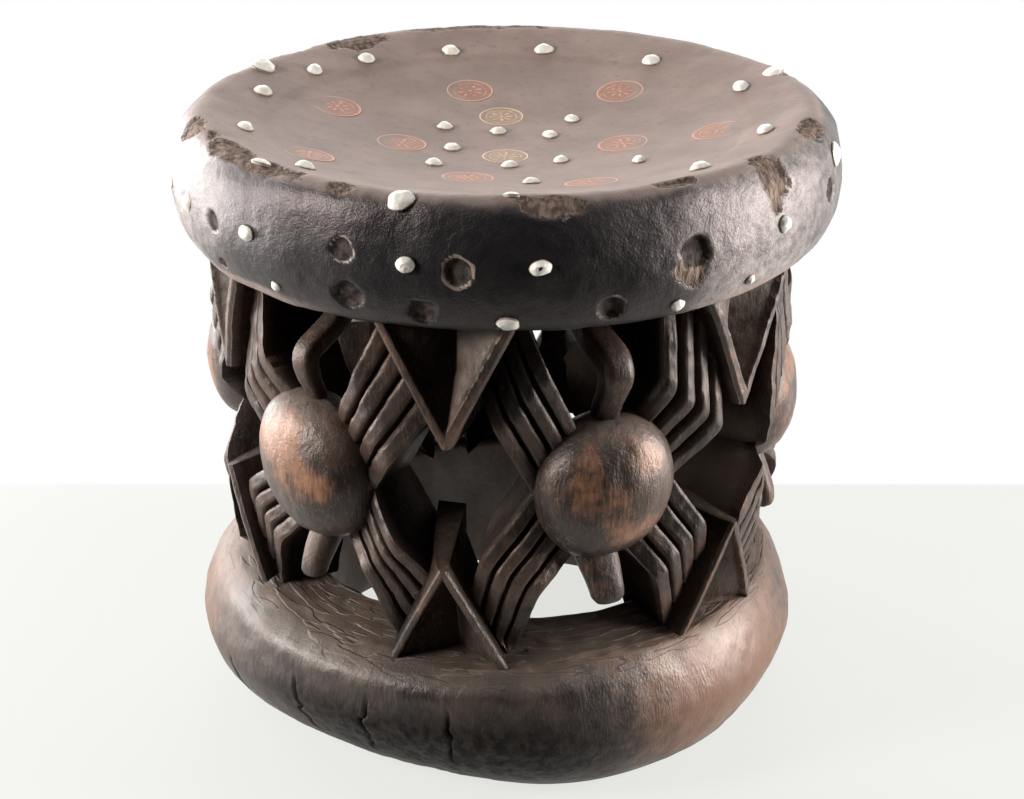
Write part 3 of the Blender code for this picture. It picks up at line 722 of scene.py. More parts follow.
def coin_shell(size, turn, seed):
    """A worn coin: height over its field by distance and angle, then a straight edge and a flat back."""
    share = np.append(np.linspace(0, 1, 34), [1.0, 0.0])[:, None]
    angle = np.linspace(0, 2 * np.pi, 96, endpoint=False)[None, :]
    lip = step(0.89, 0.94, share)
    beads = np.clip(np.cos(BEADS * angle), 0, 1) * np.exp(-((share - 0.84) / 0.028) ** 2)
    petals = step(0.1, 0.6, np.cos(PETALS * (angle + turn)))
    petals = petals * step(0.12, 0.2, share) * (1 - step(0.42, 0.62, share))
    ring = np.exp(-((share - 0.68) / 0.025) ** 2)
    knob = 1 - step(0.06, 0.1, share)
    x, y = size * share * np.cos(angle), size * share * np.sin(angle)
    flat = np.stack(np.broadcast_arrays(x, y, 0.0), axis=-1)
    wear = 0.55 + 0.45 * noise(flat + seed, 0.006, seed)
    grit = 0.5 * noise(flat, 0.0012, seed + 1)
    pattern = (0.7 * beads * wear, 0.6 * petals * wear, 0.6 * ring * wear, 0.6 * knob)
    relief = np.max(np.broadcast_arrays(0.95 * lip, *pattern), axis=0) + 0.35 * grit * (1 - lip)
    flat[..., 2] = COIN_PROUD - RELIEF + RELIEF * relief
    flat[-3, :, 2] -= 0.0002
    flat[-2:, :, 2] = -COIN_DEPTH
    relief[-3:] = -0.6
    return flat, {"relief": relief}


coin_names = sorted(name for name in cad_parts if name.startswith("coin_"))
for seed, name in enumerate(coin_names):
    low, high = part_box(name)
    degrees, radius, _ = node_polar(name)
    point, axes = dish_place(degrees, radius)
    size = max(high[0] - low[0], high[1] - low[1]) / 2
    shape, masks = coin_shell(size, seed * 0.7, 31 + seed)
    copper = name.startswith("coin_copper")
    finish, slot = (coin_copper, "coin_copper") if copper else (coin_brass, "coin_brass")
    make_piece(name + "_worn", [(point + shape @ axes, masks)], finish, slot, name)
print("coins", len(coin_names))

# %% [markdown]
# The studs differ in size, outline and twist. Those of the dish are wide and tall, those of the side lower,
# and one there has a drilled hole. A few more sit on the rim and the side than the solids hold; they are as
# small as trim and are listed by angle and place.

# %% Shell studs
# Extra studs: angle, then distance from the axis or height over the underside, then half-size
EXTRA_DISH = [(-107.5, 0.1745, 0.0085), (-35, 0.1835, 0.0060), (122, 0.1775, 0.0075), (12, 0.1840, 0.0045)]
EXTRA_SIDE = [
    (-5.5, 0.0725, 0.0070), (85, 0.058, 0.0080), (-66, 0.044, 0.0085), (11.3, 0.008, 0.0055),
    (39.3, 0.0095, 0.0045),
]
# The stud at this angle of the side has a drilled hole
HOLED = 16


def stud_shell(size, stretch, height, hole, seed):
    """A lumpy dome: height falls with a power of the distance, the outline and top swell with noise."""
    share = np.append(np.linspace(0, 1, 15), [0.9, 0.0])[:, None]
    angle = np.linspace(0, 2 * np.pi, 30, endpoint=False)[None, :]
    circle = np.stack(np.broadcast_arrays(np.cos(angle), np.sin(angle), 0.0), axis=-1)
    outline = 1 + 0.16 * noise(circle + seed, 0.8, seed) + 0.05 * noise(circle + seed, 0.3, seed + 1)
    x = size * stretch * share * outline * np.cos(angle)
    y = size / stretch * share * outline * np.sin(angle)
    dome = height * (1 - share**2.6) + 0.0003
    dent = hole * np.exp(-(share / 0.22) ** 2)
    flat = np.stack(np.broadcast_arrays(x, y, dome - 0.5 * height * dent), axis=-1)
    flat[..., 2] += 0.10 * height * noise(flat, 0.35 * size, seed + 2) * (share < 0.98)
    flat[-2:, :, 2] = -0.0008
    dust = np.maximum(0.85 * step(0.8, 1.0, share), 1.3 * dent) * np.ones_like(angle)
    return flat, {"dust": dust}


def set_stud(name, place, size, height, hole, seed, *nodes):
    """Turn a stud shell on its place and pour it."""
    chance = np.random.default_rng(seed)
    point, axes = place
    twist = chance.uniform(-0.6, 0.6)
    along, aslant = np.cos(twist), np.sin(twist)
    turned = np.array([[along, aslant, 0], [-aslant, along, 0], [0, 0, 1]]) @ axes
    shape, masks = stud_shell(size, chance.uniform(1.0, 1.16), height, hole, seed)
    make_piece(name, [(point + shape @ turned, masks)], shell_white, "shell_white", *nodes)


shell_names = sorted(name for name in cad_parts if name.startswith("shell_"))
for seed, name in enumerate(shell_names):
    low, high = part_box(name)
    degrees, radius, z = node_polar(name)
    size = max(np.subtract(high, low)) / 2
    if name.startswith("shell_belt"):
        hole = float(abs(degrees - HOLED) < 3)
        set_stud(name + "_stud", side_place(degrees, z), size * 0.85, size * 0.6, hole, 60 + seed, name)
    else:
        set_stud(name + "_stud", dish_place(degrees, radius), size * 1.15, size * 0.7, 0.0, 60 + seed, name)
for seed, (degrees, radius, size) in enumerate(EXTRA_DISH):
    set_stud(f"rim_stud_{seed + 1}", dish_place(degrees, radius), size, size * 0.35, 0.0, 120 + seed)
for seed, (degrees, rise, size) in enumerate(EXTRA_SIDE):
    place = side_place(degrees, SEAT_UNDER + rise)
    set_stud(f"side_stud_{seed + 1}", place, size, size * 0.4, 0.0, 140 + seed)
print("studs", len(shell_names) + len(EXTRA_DISH) + len(EXTRA_SIDE))

# %% [markdown]
# ## The triangles
# Between the spiders a triangle hangs from the seat and another stands on the ring, each with a raised
# rim and a hollow of two planes that meet in a valley. A wedge could be hollowed with booleans, but a
# closed cross-section that is carried from the wide end to the blunt tip gives even faces: rim, steep
# step, plane, valley and back again, then round the inner side.

# %% Triangle sections
# Hanging triangles: half-angle at the seat, turn aside, height of the tip, width of the rim
SEAT_HALF = 12.2
SEAT_LEAN = 0.5
SEAT_TIP_Z = 0.2215
SEAT_RIM = 0.0072
# Standing ones: half-angle at the ring, turn aside, height of the tip, radius of the foot, width of the rim
BASE_HALF = 12.0
BASE_LEAN = -0.6
BASE_APEX_Z = 0.160
BASE_FOOT_RADIUS = 0.1715
BASE_RIM = 0.0056
# Both: depth inside the rim, depth and place of the valley, half-angles of the tip and of the inner side
RIM_STEP = 0.0035
VALLEY = 0.0195
VALLEY_PLACE = 0.14
BLUNT = 0.9
INNER_BLUNT = 4.0


def ring_top(radius):
    """Height of the ring's sloping top."""
    return RING_TOP - (radius - RING_BORE) * RING_SLOPE


def seat_triangle_z(half):
    """Height of a hanging triangle's side at an angle from its middle."""
    return SEAT_TIP_Z + (SEAT_UNDER - SEAT_TIP_Z) * half / SEAT_HALF


def base_triangle_z(half, radius):
    """Height of a standing triangle's side at an angle from its middle; it climbs inwards."""
    foot = ring_top(BASE_FOOT_RADIUS)
    front = BASE_APEX_Z - (BASE_APEX_Z - foot) * half / BASE_HALF
    return front + (BASE_FOOT_RADIUS - radius) * RING_SLOPE


def triangle_section(half_width, rim):
    """Across the face: where each column lies in -1..1, how far it is sunk, and its masks.

    Sunk by nothing on the rim, by a steep step inside it, then by two planes down to the valley.
    """
    across = np.linspace(-1, 1, 71)[None, :]
    inward = (1 - np.abs(across)) * half_width
    room = np.clip((half_width - rim) / 0.016, 0, 1)
    stepped = RIM_STEP * room * step(rim - 0.0004, rim + 0.0014, inward)
    planes = []
    for side in (1, -1):
        reach = np.maximum(half_width * (1 + side * VALLEY_PLACE) - rim, 1e-4)
        planes.append(((1 + side * across) * half_width - rim) / reach)
    sloped = (VALLEY - RIM_STEP) * room * np.clip(np.where(across < VALLEY_PLACE, *planes), 0, 1)
    rounded = 0.0020 * (1 - step(0, 0.35 * rim, inward))
    worn = np.exp(-((inward - 0.5 * rim) / (0.4 * rim)) ** 2)
    dust = 0.6 * np.exp(-((inward - rim - 0.002) / 0.0016) ** 2) * room
    return across, stepped + sloped + rounded, worn, dust


def wall_masks(front_shape, wall_shape, **masks):
    """Masks of a capped shell: each is a value for the front and one for the walls, side by side."""
    made = {}
    for name, (front, wall) in masks.items():
        sides = (np.broadcast_to(front, front_shape), np.broadcast_to(wall, wall_shape))
        made[name] = np.pad(np.concatenate(sides, axis=1), ((1, 1), (0, 0)), mode="edge")
    return made


def triangle_shell(middle, half, face, rim, skew, height, plane_shade_and_sheen, seed):
    """Carry the section along: half-angle and face radius by row, height by half-angle and radius.

    `skew` turns the inner side. `plane_shade_and_sheen` is the painted shade of the left plane, and the dust
    with painted sheen of what has no shade.
    """
    across, sunk, worn, dust = triangle_section(np.radians(half) * face, rim)
    radius = face - sunk
    front = on_drum(middle + half * across, radius, height(half, radius))
    edge = np.linspace(0, 1, 8)[None, 1:]
    deep = mix(face, WALL_INNER, edge)
    wide = np.maximum(half, mix(half, INNER_BLUNT, edge))
    right, left = (on_drum(middle + skew * edge + side * wide, deep, height(half, deep)) for side in (1, -1))
    grid = np.concatenate([front, right, left[:, ::-1]], axis=1)
    rough = 0.0005 * noise(grid, 0.013, seed) + 0.0002 * noise(grid, 0.004, seed + 1)
    grid = capped(grid + rough[..., None] * on_drum(middle, 1.0, 0.3))
    # Painted shade on the left plane, which is turned from the lamps, and on the inner walls; dust and
    # painted sheen on the other planes.
    soot = plane_shade_and_sheen[0] * (1 - worn) * (across < VALLEY_PLACE)
    dust = np.maximum(dust, plane_shade_and_sheen[1] * (1 - worn) * (soot == 0))
    both_walls = (len(half), 2 * edge.size)
    return grid, wall_masks(sunk.shape, both_walls, worn=(0.55 * worn, 0), dust=(dust, 0), soot=(soot, 0.65))


# %% Hanging and standing triangles
SPIDERS = 6
PITCH = 360 / SPIDERS
# Radius of the face at the wide end and at the tip, and the turn of a standing triangle's inner side
SEAT_FACE = (0.187, 0.183)
BASE_FACE = (BASE_FOOT_RADIUS, 0.179)
BASE_SKEW = -3.5
# How far the carving reaches into the seat, and the standing triangles into the ring
INTO_SEAT = 0.0015
INTO_RING = 0.001
# Dust and painted sheen on the hanging triangles' lit planes, and painted shade on the standing ones' left
# planes
SEAT_DUST_AND_SHEEN = 0.6
BASE_SHADE = 0.75
# Of each hanging triangle: how much farther out it stands, and the painted shade of its left plane
SEAT_TRIANGLE_REACH = [0.0, -0.004, 0.0, 0.0, 0.0, -0.006]
SEAT_TRIANGLE_SHADE = [0.75, 0.0, 0.4, 0.4, 0.4, 0.4]
# Of each standing triangle: how much higher it rises
BASE_TRIANGLE_LIFT = [0.0, 0.003, 0.010, 0.024, 0.036, 0.011]

tri_rows = np.linspace(0, 1, 60)[:, None]
for number in range(SPIDERS):
    middle = number * PITCH
    lift = BASE_TRIANGLE_LIFT[number] - INTO_RING
    face = mix(*SEAT_FACE, tri_rows) + SEAT_TRIANGLE_REACH[number]
    plane_shade_and_sheen = (SEAT_TRIANGLE_SHADE[number], SEAT_DUST_AND_SHEEN)
    hanging = triangle_shell(
        middle + SEAT_LEAN, mix(SEAT_HALF, BLUNT, tri_rows), face, SEAT_RIM, 0.0,
        lambda half, radius: seat_triangle_z(half) + INTO_SEAT, plane_shade_and_sheen, 200 + number,
    )
    standing = triangle_shell(
        middle + BASE_LEAN, mix(BASE_HALF, BLUNT, tri_rows), mix(*BASE_FACE, tri_rows), BASE_RIM, BASE_SKEW,
        lambda half, radius: base_triangle_z(half, radius) + lift, (BASE_SHADE, 0.0), 220 + number,
    )
    for kind, shell in (("seat", hanging), ("base", standing)):
        node = f"{kind}_triangle_{number + 1}"
        make_piece(node + "_carved", [shell], carved_wood, "carved_wood", node, sharp=50)
print("triangles", 2 * SPIDERS)

# %% [markdown]
# ## The spiders
# Each spider has a full body, a head that bends inwards under the seat, a blunt tail, and four groups of
# four ribbed legs. Sculpting would be the hand's way. Formulas keep the ribs crisp and let every leg be
# moved by a number. A body is a lumpy oval. Head and tail are squarish sections carried along a path. A
# leg group is one wall whose front has four ribs and three deep grooves: its section is carried from the
# body over the knee to the seat or the ring. The carver cut two kinds of spider in turn, and their knees
# bend differently.

# %% Body, head and tail
BODY_Z = 0.194
BODY_RADIUS = 0.157
BODY_HALF = np.array([0.0405, 0.029, 0.0415])
BAR_ROWS = 40


def spin(grid, degrees):
    """Turn points made at the front to an angle round the drum."""
    turn = np.radians(degrees)
    x, y = grid[..., 0], grid[..., 1]
    turned = (x * np.cos(turn) - y * np.sin(turn), x * np.sin(turn) + y * np.cos(turn), grid[..., 2])
    return np.stack(turned, axis=-1)


def body_shell(middle, reach, lift, lean, seed):
    """An oval by latitude and longitude, squarer than an egg, sheared by its lean, with soft facets."""
    rise = np.linspace(-90, 90, 60)[:, None]
    turn = np.linspace(0, 360, 96, endpoint=False)[None, :]
    up = np.sin(np.radians(rise)) * np.ones_like(turn)
    swell = np.cos(np.radians(rise)) ** 0.82
    side, out = np.cos(np.radians(turn)), np.sin(np.radians(turn))
    squared = np.sign(out) * np.abs(out) ** 0.85
    shape = np.stack([swell * side, swell * squared, up], axis=-1)
    lumps = 1 + 0.045 * noise(shape + seed, 0.9, seed) + 0.014 * noise(shape + seed, 0.35, seed + 1)
    shape = shape * BODY_HALF * lumps[..., None]
    scars = 0.0004 * noise(shape * [1, 1, 0.25], 0.0035, seed + 2)
    sideways = shape[..., 0] + lean * shape[..., 2]
    outwards = BODY_RADIUS + reach + shape[..., 1] + scars
    grid = np.stack([sideways, -outwards, BODY_Z + lift + shape[..., 2]], axis=-1)
    worn = step(0.1, 0.9, squared * swell) * (0.46 + 0.6 * noise(shape, 0.022, seed + 3) + 0.22 * up)
    dust = step(0.55, 0.95, np.abs(up)) * 0.35 + 0.3 * step(0.55, 0.9, up) * (squared > 0)
    masks = {"worn": np.clip(worn, 0, 1), "dust": dust * np.ones_like(worn), "soot": np.zeros_like(worn)}
    return spin(grid, middle), masks


def bar_shell(middle, path, shift, wide, deep, square, lean, swell, seed):
    """A squarish section carried along a path of (radius, z), leaning sideways with its distance out.

    `shift` moves the path out and up, a smaller `square` makes the section boxier, and `swell` is the
    section's share of its size along the way.
    """
    path = spline(path, BAR_ROWS) + shift
    lead = np.gradient(path, axis=0)
    lead /= np.linalg.norm(lead, axis=1, keepdims=True)
    turn = np.linspace(0, 2 * np.pi, 36, endpoint=False)[None, :]
    side = np.sign(np.cos(turn)) * np.abs(np.cos(turn)) ** square
    out = np.sign(np.sin(turn)) * np.abs(np.sin(turn)) ** square
    taper = np.interp(np.linspace(0, 1, BAR_ROWS), *swell)[:, None]
    radius = path[:, :1] + lead[:, 1:] * out * deep * taper
    z = path[:, 1:] - lead[:, :1] * out * deep * taper
    sideways = side * wide * taper + lean * (path[:, :1] - BODY_RADIUS - shift[0])
    grid = np.stack(np.broadcast_arrays(sideways, -radius, z), axis=-1)
    grid = capped(grid + (0.0006 * noise(grid + middle, 0.012, seed))[..., None])
    worn = np.full(grid.shape[:2], 0.45)
    return spin(grid, middle), {"worn": worn, "dust": 0.5 * worn, "soot": 0.5 * worn}


# Tail and head paths in the spider's plane: distance from the axis and height; how each swells on the way
TAIL_PATH = [(0.1690, 0.1250), (0.1675, 0.1330), (0.1630, 0.1440), (0.1540, 0.1640)]
TAIL_SWELL = ([0, 0.06, 0.2, 1], [0.62, 0.80, 0.88, 1.15])
TAIL_DEEP = 0.0085
HEAD_PATH = [
    (0.1520, 0.2150), (0.1570, 0.2340), (0.1630, 0.2480), (0.1655, 0.2570), (0.1625, 0.2630),
    (0.1530, 0.2685), (0.1420, 0.2750), (0.1310, 0.2860), (0.1220, 0.3020),
]
HEAD_SWELL = ([0, 0.26, 0.42, 1], [0.80, 0.78, 1, 1])

# %% Leg groups
# A group's first and last rib at the body, the knee and the far end: angle from the spider, height, radius
KNEED_UPPER = (
    ((6.5, 0.223, 0.158), (11.6, 0.2550, 0.176), (12.4, 0.300, 0.168)),
    ((15.5, 0.185, 0.158), (26.6, 0.2165, 0.175), (27.4, 0.246, 0.168)),
)
GENTLE_UPPER = (
    ((3.0, 0.2188, 0.156), (11.3, 0.2700, 0.174), (15.5, 0.300, 0.156)),
    ((11.3, 0.178, 0.158), (21.5, 0.2374, 0.175), (25.5, 0.262, 0.152)),
)
SLIT_UPPER = (
    ((6.0, 0.224, 0.158), (14.0, 0.2515, 0.171), (15.5, 0.300, 0.166)),
    ((17.0, 0.180, 0.158), (26.5, 0.2140, 0.169), (26.8, 0.247, 0.164)),
)
STEEP_UPPER = (
    ((2.7, 0.2215, 0.157), (11.7, 0.2610, 0.174), (17.5, 0.300, 0.163)),
    ((12.0, 0.181, 0.157), (19.3, 0.2110, 0.176), (28.5, 0.2475, 0.162)),
)
KNEED_LOWER = (
    ((11.7, 0.199, 0.158), (24.4, 0.1549, 0.173), (26.2, 0.129, 0.165)),
    ((4.7, 0.1527, 0.157), (12.5, 0.1343, 0.170), (17.3, 0.088, 0.157)),
)
STRAIGHT_LOWER = (
    ((16.0, 0.196, 0.158), (23.3, 0.1590, 0.174), (26.4, 0.129, 0.165)),
    ((7.0, 0.150, 0.157), (11.3, 0.1330, 0.171), (17.1, 0.088, 0.157)),
)
SHORT_LOWER = (
    ((17.0, 0.178, 0.158), (26.0, 0.1580, 0.171), (27.5, 0.134, 0.166)),
    ((6.0, 0.152, 0.157), (13.0, 0.1320, 0.168), (19.5, 0.088, 0.158)),
)
STEEP_LOWER = (
    ((11.0, 0.1943, 0.157), (20.1, 0.1638, 0.175), (26.8, 0.139, 0.165)),
    ((4.5, 0.156, 0.157), (12.9, 0.1366, 0.172), (18.5, 0.088, 0.158)),
)
NARROW_UPPER = (
    ((5.0, 0.226, 0.158), (11.0, 0.2600, 0.178), (12.5, 0.300, 0.172)),
    ((14.0, 0.178, 0.158), (20.0, 0.1920, 0.177), (17.5, 0.285, 0.174)),
)
RAISED_LOWER = (
    ((15.0, 0.192, 0.158), (21.5, 0.1820, 0.178), (28.2, 0.156, 0.174)),
    ((6.0, 0.152, 0.157), (13.0, 0.1320, 0.168), (19.5, 0.088, 0.158)),
)
CLOSE_LOWER = (
    ((12.0, 0.197, 0.158), (24.5, 0.1560, 0.173), (26.5, 0.130, 0.165)),
    ((1.5, 0.155, 0.157), (4.5, 0.1350, 0.166), (6.0, 0.088, 0.157)),
)
# How a group is cut: a rib's share of its pitch, the depth of a groove, what is left of it past the knee
DEEP_CUT = (0.66, 0.0085, 0.9)
BROAD_CUT = (0.74, 0.0072, 0.7)
FLAT_CUT = (0.76, 0.0058, 0.6)
SLIT_CUT = (0.80, 0.0065, 0.12)
BURIED = 0.002


def bend(stations, travel, soft):
    """From the body to the knee to the far end, with the corner rounded by a hyperbola."""
    start, knee, end = (np.array(place) for place in stations)
    x = 2 * travel - 1
    past = 0.5 * (x + np.sqrt(x * x + soft * soft))
    return start + (knee - start) * (2 * travel - past)[..., None] + (end - knee) * past[..., None]


def rib_section(rib, samples=16):
    """Across a group: where each column lies in 0..1 and how deep it is sunk in 0..1.

    Flat ribs with rounded edges, steep walls, and flat-bottomed grooves; rib and groove repeat four times.
    """
    width = 4 * rib + 3 * (1 - rib)
    place = np.linspace(0, width, int(samples * width) + 1)
    within = place % 1.0
    groove = step(rib - 0.02, rib + 0.07, within) * (1 - step(0.91, 1.0, within))
    groove = np.where(place > width - rib, 0.0, groove)
    near_edge = np.minimum(within, np.abs(rib - within))
    rounded = 0.14 * (1 - step(0.0, 0.16, near_edge)) * (1 - groove)
    worn = np.exp(-(near_edge / 0.08) ** 2) * (groove < 0.5)
    return place / width, groove + rounded, groove, worn


def far_height(upper, side, angle, radius):
    """Where a leg ends: in the seat or the ring, or earlier in a triangle's side."""
    half = np.maximum(PITCH / 2 + side * (SEAT_LEAN if upper else BASE_LEAN) - angle, 0)
    if upper:
        return np.minimum(SEAT_UNDER + INTO_SEAT, seat_triangle_z(half) + BURIED)
    return np.maximum(ring_top(radius) - BURIED, base_triangle_z(half, radius) - BURIED)


def leg_shell(middle, side, edges, cut, upper, reach, flank, seed):
    """A leg group: ribs and grooves carried from the body over the knee; `flank` dusts its side walls."""
    travel = np.linspace(0, 1, 64)[:, None]
    rib, deep_cut, past_knee = cut
    share, depth, groove, worn = (column[None, :] for column in rib_section(rib))
    first, last = (bend(edge, travel, 0.10) for edge in edges)
    chance = np.random.default_rng(seed)
    drift = np.interp(share, np.linspace(0, 1, 5), chance.uniform(-0.012, 0.012, 5))
    share = np.clip(share + drift * (share > 0) * (share < 1), 0, 1)
    place = first + (last - first) * share[..., None]
    angle, z, face = np.moveaxis(place, -1, 0)
    by_travel = np.interp(travel, [0, 0.1, 0.44, 0.56, 1], [0.35, 1, 1, past_knee, past_knee])
    proud = np.interp(3 * share, np.arange(4), chance.uniform(-0.0014, 0.0014, 4))
    radius = face + reach + proud - deep_cut * depth * by_travel
    stop = far_height(upper, side, angle, radius)
    z = np.minimum(z, stop) if upper else np.maximum(z, stop)
    z = np.where(travel > 0.995, stop, z)
    front = on_drum(middle + side * angle, radius, z)
    inwards = np.linspace(0, 1, 6)[None, 1:]
    walls = []
    for column, order in ((-1, 1), (0, -1)):
        deep = mix(radius[:, [column]], WALL_INNER, inwards)[:, ::order]
        walls.append(on_drum(middle + side * angle[:, [column]], deep, z[:, [column]]))
    walls = np.concatenate(walls, axis=1)
    grid = np.concatenate([front, walls], axis=1)
    rough = 0.0013 * noise(grid, 0.014, seed) + 0.0005 * noise(grid, 0.005, seed + 1)
    grid = capped(grid + rough[..., None] * on_drum(middle, 1.0, 0.4))

    root = 1 - step(0.0, 0.22, travel)
    # Painted shade: the walls darken under the seat, low down and towards the front, and so do the grooves;
    # the ribs are a little darker all over.
    high = step(0.19, 0.235, walls[..., 2])
    low = 1 - step(0.13, 0.17, walls[..., 2])
    inmost = np.concatenate([inwards, inwards[:, ::-1]], axis=1) ** 2
    wall_soot = np.maximum((1 - flank) * np.maximum(0.65 * (1 - inmost), 0.85 * low), 0.9 * high)
    wall_dust = np.maximum(0.9 * inmost * (1 - low), 0.9 * flank) * (1 - high)
    masks = wall_masks(
        radius.shape, walls.shape[:2], worn=(0.55 * worn, 0),
        dust=(np.maximum(0.35 * groove, 0.6 * root), wall_dust),
        soot=(np.maximum(0.6 * groove, 0.22), wall_soot),
    )
    return grid, masks


# %% Six spiders of two kinds
KINDS = {
    "gentle": {
        (-1, True): (GENTLE_UPPER, BROAD_CUT), (1, True): (KNEED_UPPER, DEEP_CUT),
        (-1, False): (KNEED_LOWER, BROAD_CUT), (1, False): (STRAIGHT_LOWER, FLAT_CUT),
    },
    "steep": {
        (-1, True): (SLIT_UPPER, SLIT_CUT), (1, True): (STEEP_UPPER, BROAD_CUT),
        (-1, False): (SHORT_LOWER, BROAD_CUT), (1, False): (STEEP_LOWER, BROAD_CUT),
    },
}
# Of each kind: the body's turn aside and lean; the tail's turn, half-width and lean; the head's with its lift
STANCE = {
    "gentle": ((1.4, 0.04), (-1.0, 0.0118, 0.5), (1.7, 0.0094, 0.22, 0.006)),
    "steep": ((-1.8, -0.11), (0.5, 0.0088, -0.3), (-2.2, 0.0068, 0.0, 0.0)),
}
# The drum isn't round either: how much farther out and higher each spider stands, and its body alone
SPIDER_REACH = [0.0, 0.003, 0.0, 0.0, 0.006, 0.0]
SPIDER_LIFT = [0.0, 0.010, 0.004, 0.0, 0.010, -0.002]
FIGURE_REACH = [0.0, -0.0075, 0.0, 0.0, 0.0, 0.0]
# Groups that differ from their kind: the second spider's left legs, and the lower legs of the two at the back
OWN_LEGS = {
    (1, -1, True): (NARROW_UPPER, SLIT_CUT), (1, -1, False): (RAISED_LOWER, BROAD_CUT),
    (2, -1, False): (CLOSE_LOWER, BROAD_CUT), (2, 1, False): (CLOSE_LOWER, BROAD_CUT),
    (3, -1, False): (CLOSE_LOWER, BROAD_CUT), (3, 1, False): (CLOSE_LOWER, BROAD_CUT),
}
# The legs whose walls are dusty: the second spider's left ones
DUSTY_FLANK = (1, -1)

for number in range(SPIDERS):
    middle = (number + 0.5) * PITCH
    style = "gentle" if number % 2 == 0 else "steep"
    seed = 300 + 20 * number
    reach, lift = SPIDER_REACH[number], SPIDER_LIFT[number]
    near = reach + FIGURE_REACH[number]
    (body_turn, body_lean), (tail_turn, tail_half, tail_lean), head_stance = STANCE[style]
    head_turn, neck, head_lean, head_lift = head_stance
    body = body_shell(middle + body_turn, near, lift, body_lean, seed)
    tail = bar_shell(
        middle + tail_turn, TAIL_PATH, (near, 0), tail_half, TAIL_DEEP, 0.7, tail_lean, TAIL_SWELL, seed + 4
    )
    head = bar_shell(
        middle + head_turn, HEAD_PATH, (near, head_lift), neck, neck, 0.6, head_lean, HEAD_SWELL, seed + 5
    )
    shells = [body, tail, head]
    for order, ((side, upper), legs) in enumerate(KINDS[style].items()):
        edges, cut = OWN_LEGS.get((number, side, upper), legs)
        flank = float((number, side) == DUSTY_FLANK)
        shells.append(leg_shell(middle, side, edges, cut, upper, reach, flank, seed + 6 + 2 * order))
    node = f"spider_{number + 1}"
    made = make_piece(node + "_carved", shells, carved_wood, "carved_wood", node, sharp=55)
    print(made.name, len(made.data.polygons), "faces")

# %% [markdown]
# ## The ring
# The foot of the stool is a heavy rounded ring. A torus with a few modifiers would do for a smooth one.
# Here the section has a sloping top, a full outside and a flat foot, so it is drawn as a closed profile:
# rows go round the section and columns round the axis. The top keeps long strokes of the blade, the front
# has cracks, and the outline is out of round by some millimetres.

# %% Ring surface
RING_COLUMNS = 720
TOP_ROWS = 26
BORE_EDGE = 0.004
# Columns stand closer together at the front left, where the cracks are
CROWDING = 24
CROWDED_AT = -15
# Section of the ring: distance in from the widest radius, height over the floor
RING_KNOTS = [
    (0.0280, 0.0885), (0.0190, 0.0845), (0.0080, 0.0710), (0.0018, 0.0560), (0.0000, 0.0440),
    (0.0025, 0.0320), (0.0085, 0.0190), (0.0180, 0.0070), (0.0260, 0.0008), (0.0310, 0.0000),
]


def ring_section():
    """The closed section: the sloping top, the full outside, the flat foot and the bore."""
    outside = spline([(RING_RADIUS - inset, rise) for inset, rise in RING_KNOTS], 64)
    inner_edge = RING_BORE + BORE_EDGE
    top_radius = np.linspace(inner_edge, outside[0, 0], TOP_ROWS, endpoint=False)
    top = np.stack([top_radius, ring_top(top_radius)], axis=1)
    top[:, 1] += (outside[0, 1] - ring_top(outside[0, 0])) * step(0.6, 1.0, np.linspace(0, 1, TOP_ROWS))
    foot = np.stack([np.linspace(outside[-1, 0], RING_BORE, 8)[1:], np.zeros(7)], axis=1)
    bore = np.stack([np.full(20, RING_BORE), np.linspace(0, ring_top(inner_edge) - 0.003, 21)[1:]], axis=1)
    return np.vstack([top, outside, foot, bore])


section = ring_section()
ring_radius, ring_rise = section[:, :1], section[:, 1:]
lead = np.roll(section, -1, axis=0) - np.roll(section, 1, axis=0)
lead /= np.linalg.norm(lead, axis=1, keepdims=True)
even = np.linspace(-180, 180, RING_COLUMNS, endpoint=False)[None, :]
ring_angles = even - CROWDING * np.sin(np.radians(even - CROWDED_AT))
ring_grid = on_drum(ring_angles, ring_radius, ring_rise)
ring_out = on_drum(ring_angles, -lead[:, 1:], lead[:, :1])
outer = step(0.150, 0.191, ring_radius)
print("ring section", len(section), "points")

# %% Ring strokes and cracks
# Cracks: angle, lowest and highest point, lean
CRACKS = [
    (-30.5, 0.014, 0.066, 1.0), (-15, 0.018, 0.070, -1.0), (0.3, 0.022, 0.070, 1.2), (-52, 0.02, 0.05, 1.0),
    (160, 0.01, 0.06, 2),
]
CRACK_HALF = 0.0009
# A radius that turns angles round the ring into metres
MEAN_RADIUS = 0.16

polar = np.stack(np.broadcast_arrays(np.radians(ring_angles) * MEAN_RADIUS, ring_radius, ring_rise), axis=-1)
on_top = step(0.55, 0.8, lead[:, :1] * np.ones_like(ring_angles)) * (ring_rise > 0.05)
strokes = noise(polar * [0.22, 1, 1], 0.0055, 41) + 0.5 * noise(polar * [0.3, 1, 1], 0.0028, 42)
strokes = strokes * on_top
crack_mask = np.zeros(ring_grid.shape[:2])
for degrees, low, high, lean in CRACKS:
    share = (ring_grid[..., 2] - low) / (high - low)
    wander = 0.0022 * noise(ring_grid * [0, 0, 1] + degrees, 0.005, 43)
    off = np.radians(turn_gap(ring_angles, degrees + lean * (1 - share))) * RING_RADIUS + wander
    length = step(0.0, 0.25, share) * (1 - step(0.75, 1.0, share)) * outer
    crack_mask = np.maximum(crack_mask, np.exp(-(off / CRACK_HALF) ** 2) * length)
print("cracks", len(CRACKS))

# %% Ring form
# The outside stands farther out at the left than at the right, with low waves round it
SWELL = 0.0085
LUMP = 0.002
# The foot is flattened at the front left: depth, middle, half-angle, height it reaches
FLAT_DEPTH, FLAT_AT, FLAT_HALF, FLAT_TOP = 0.018, -18, 31, 0.075
FOOT_RADIUS = 0.160
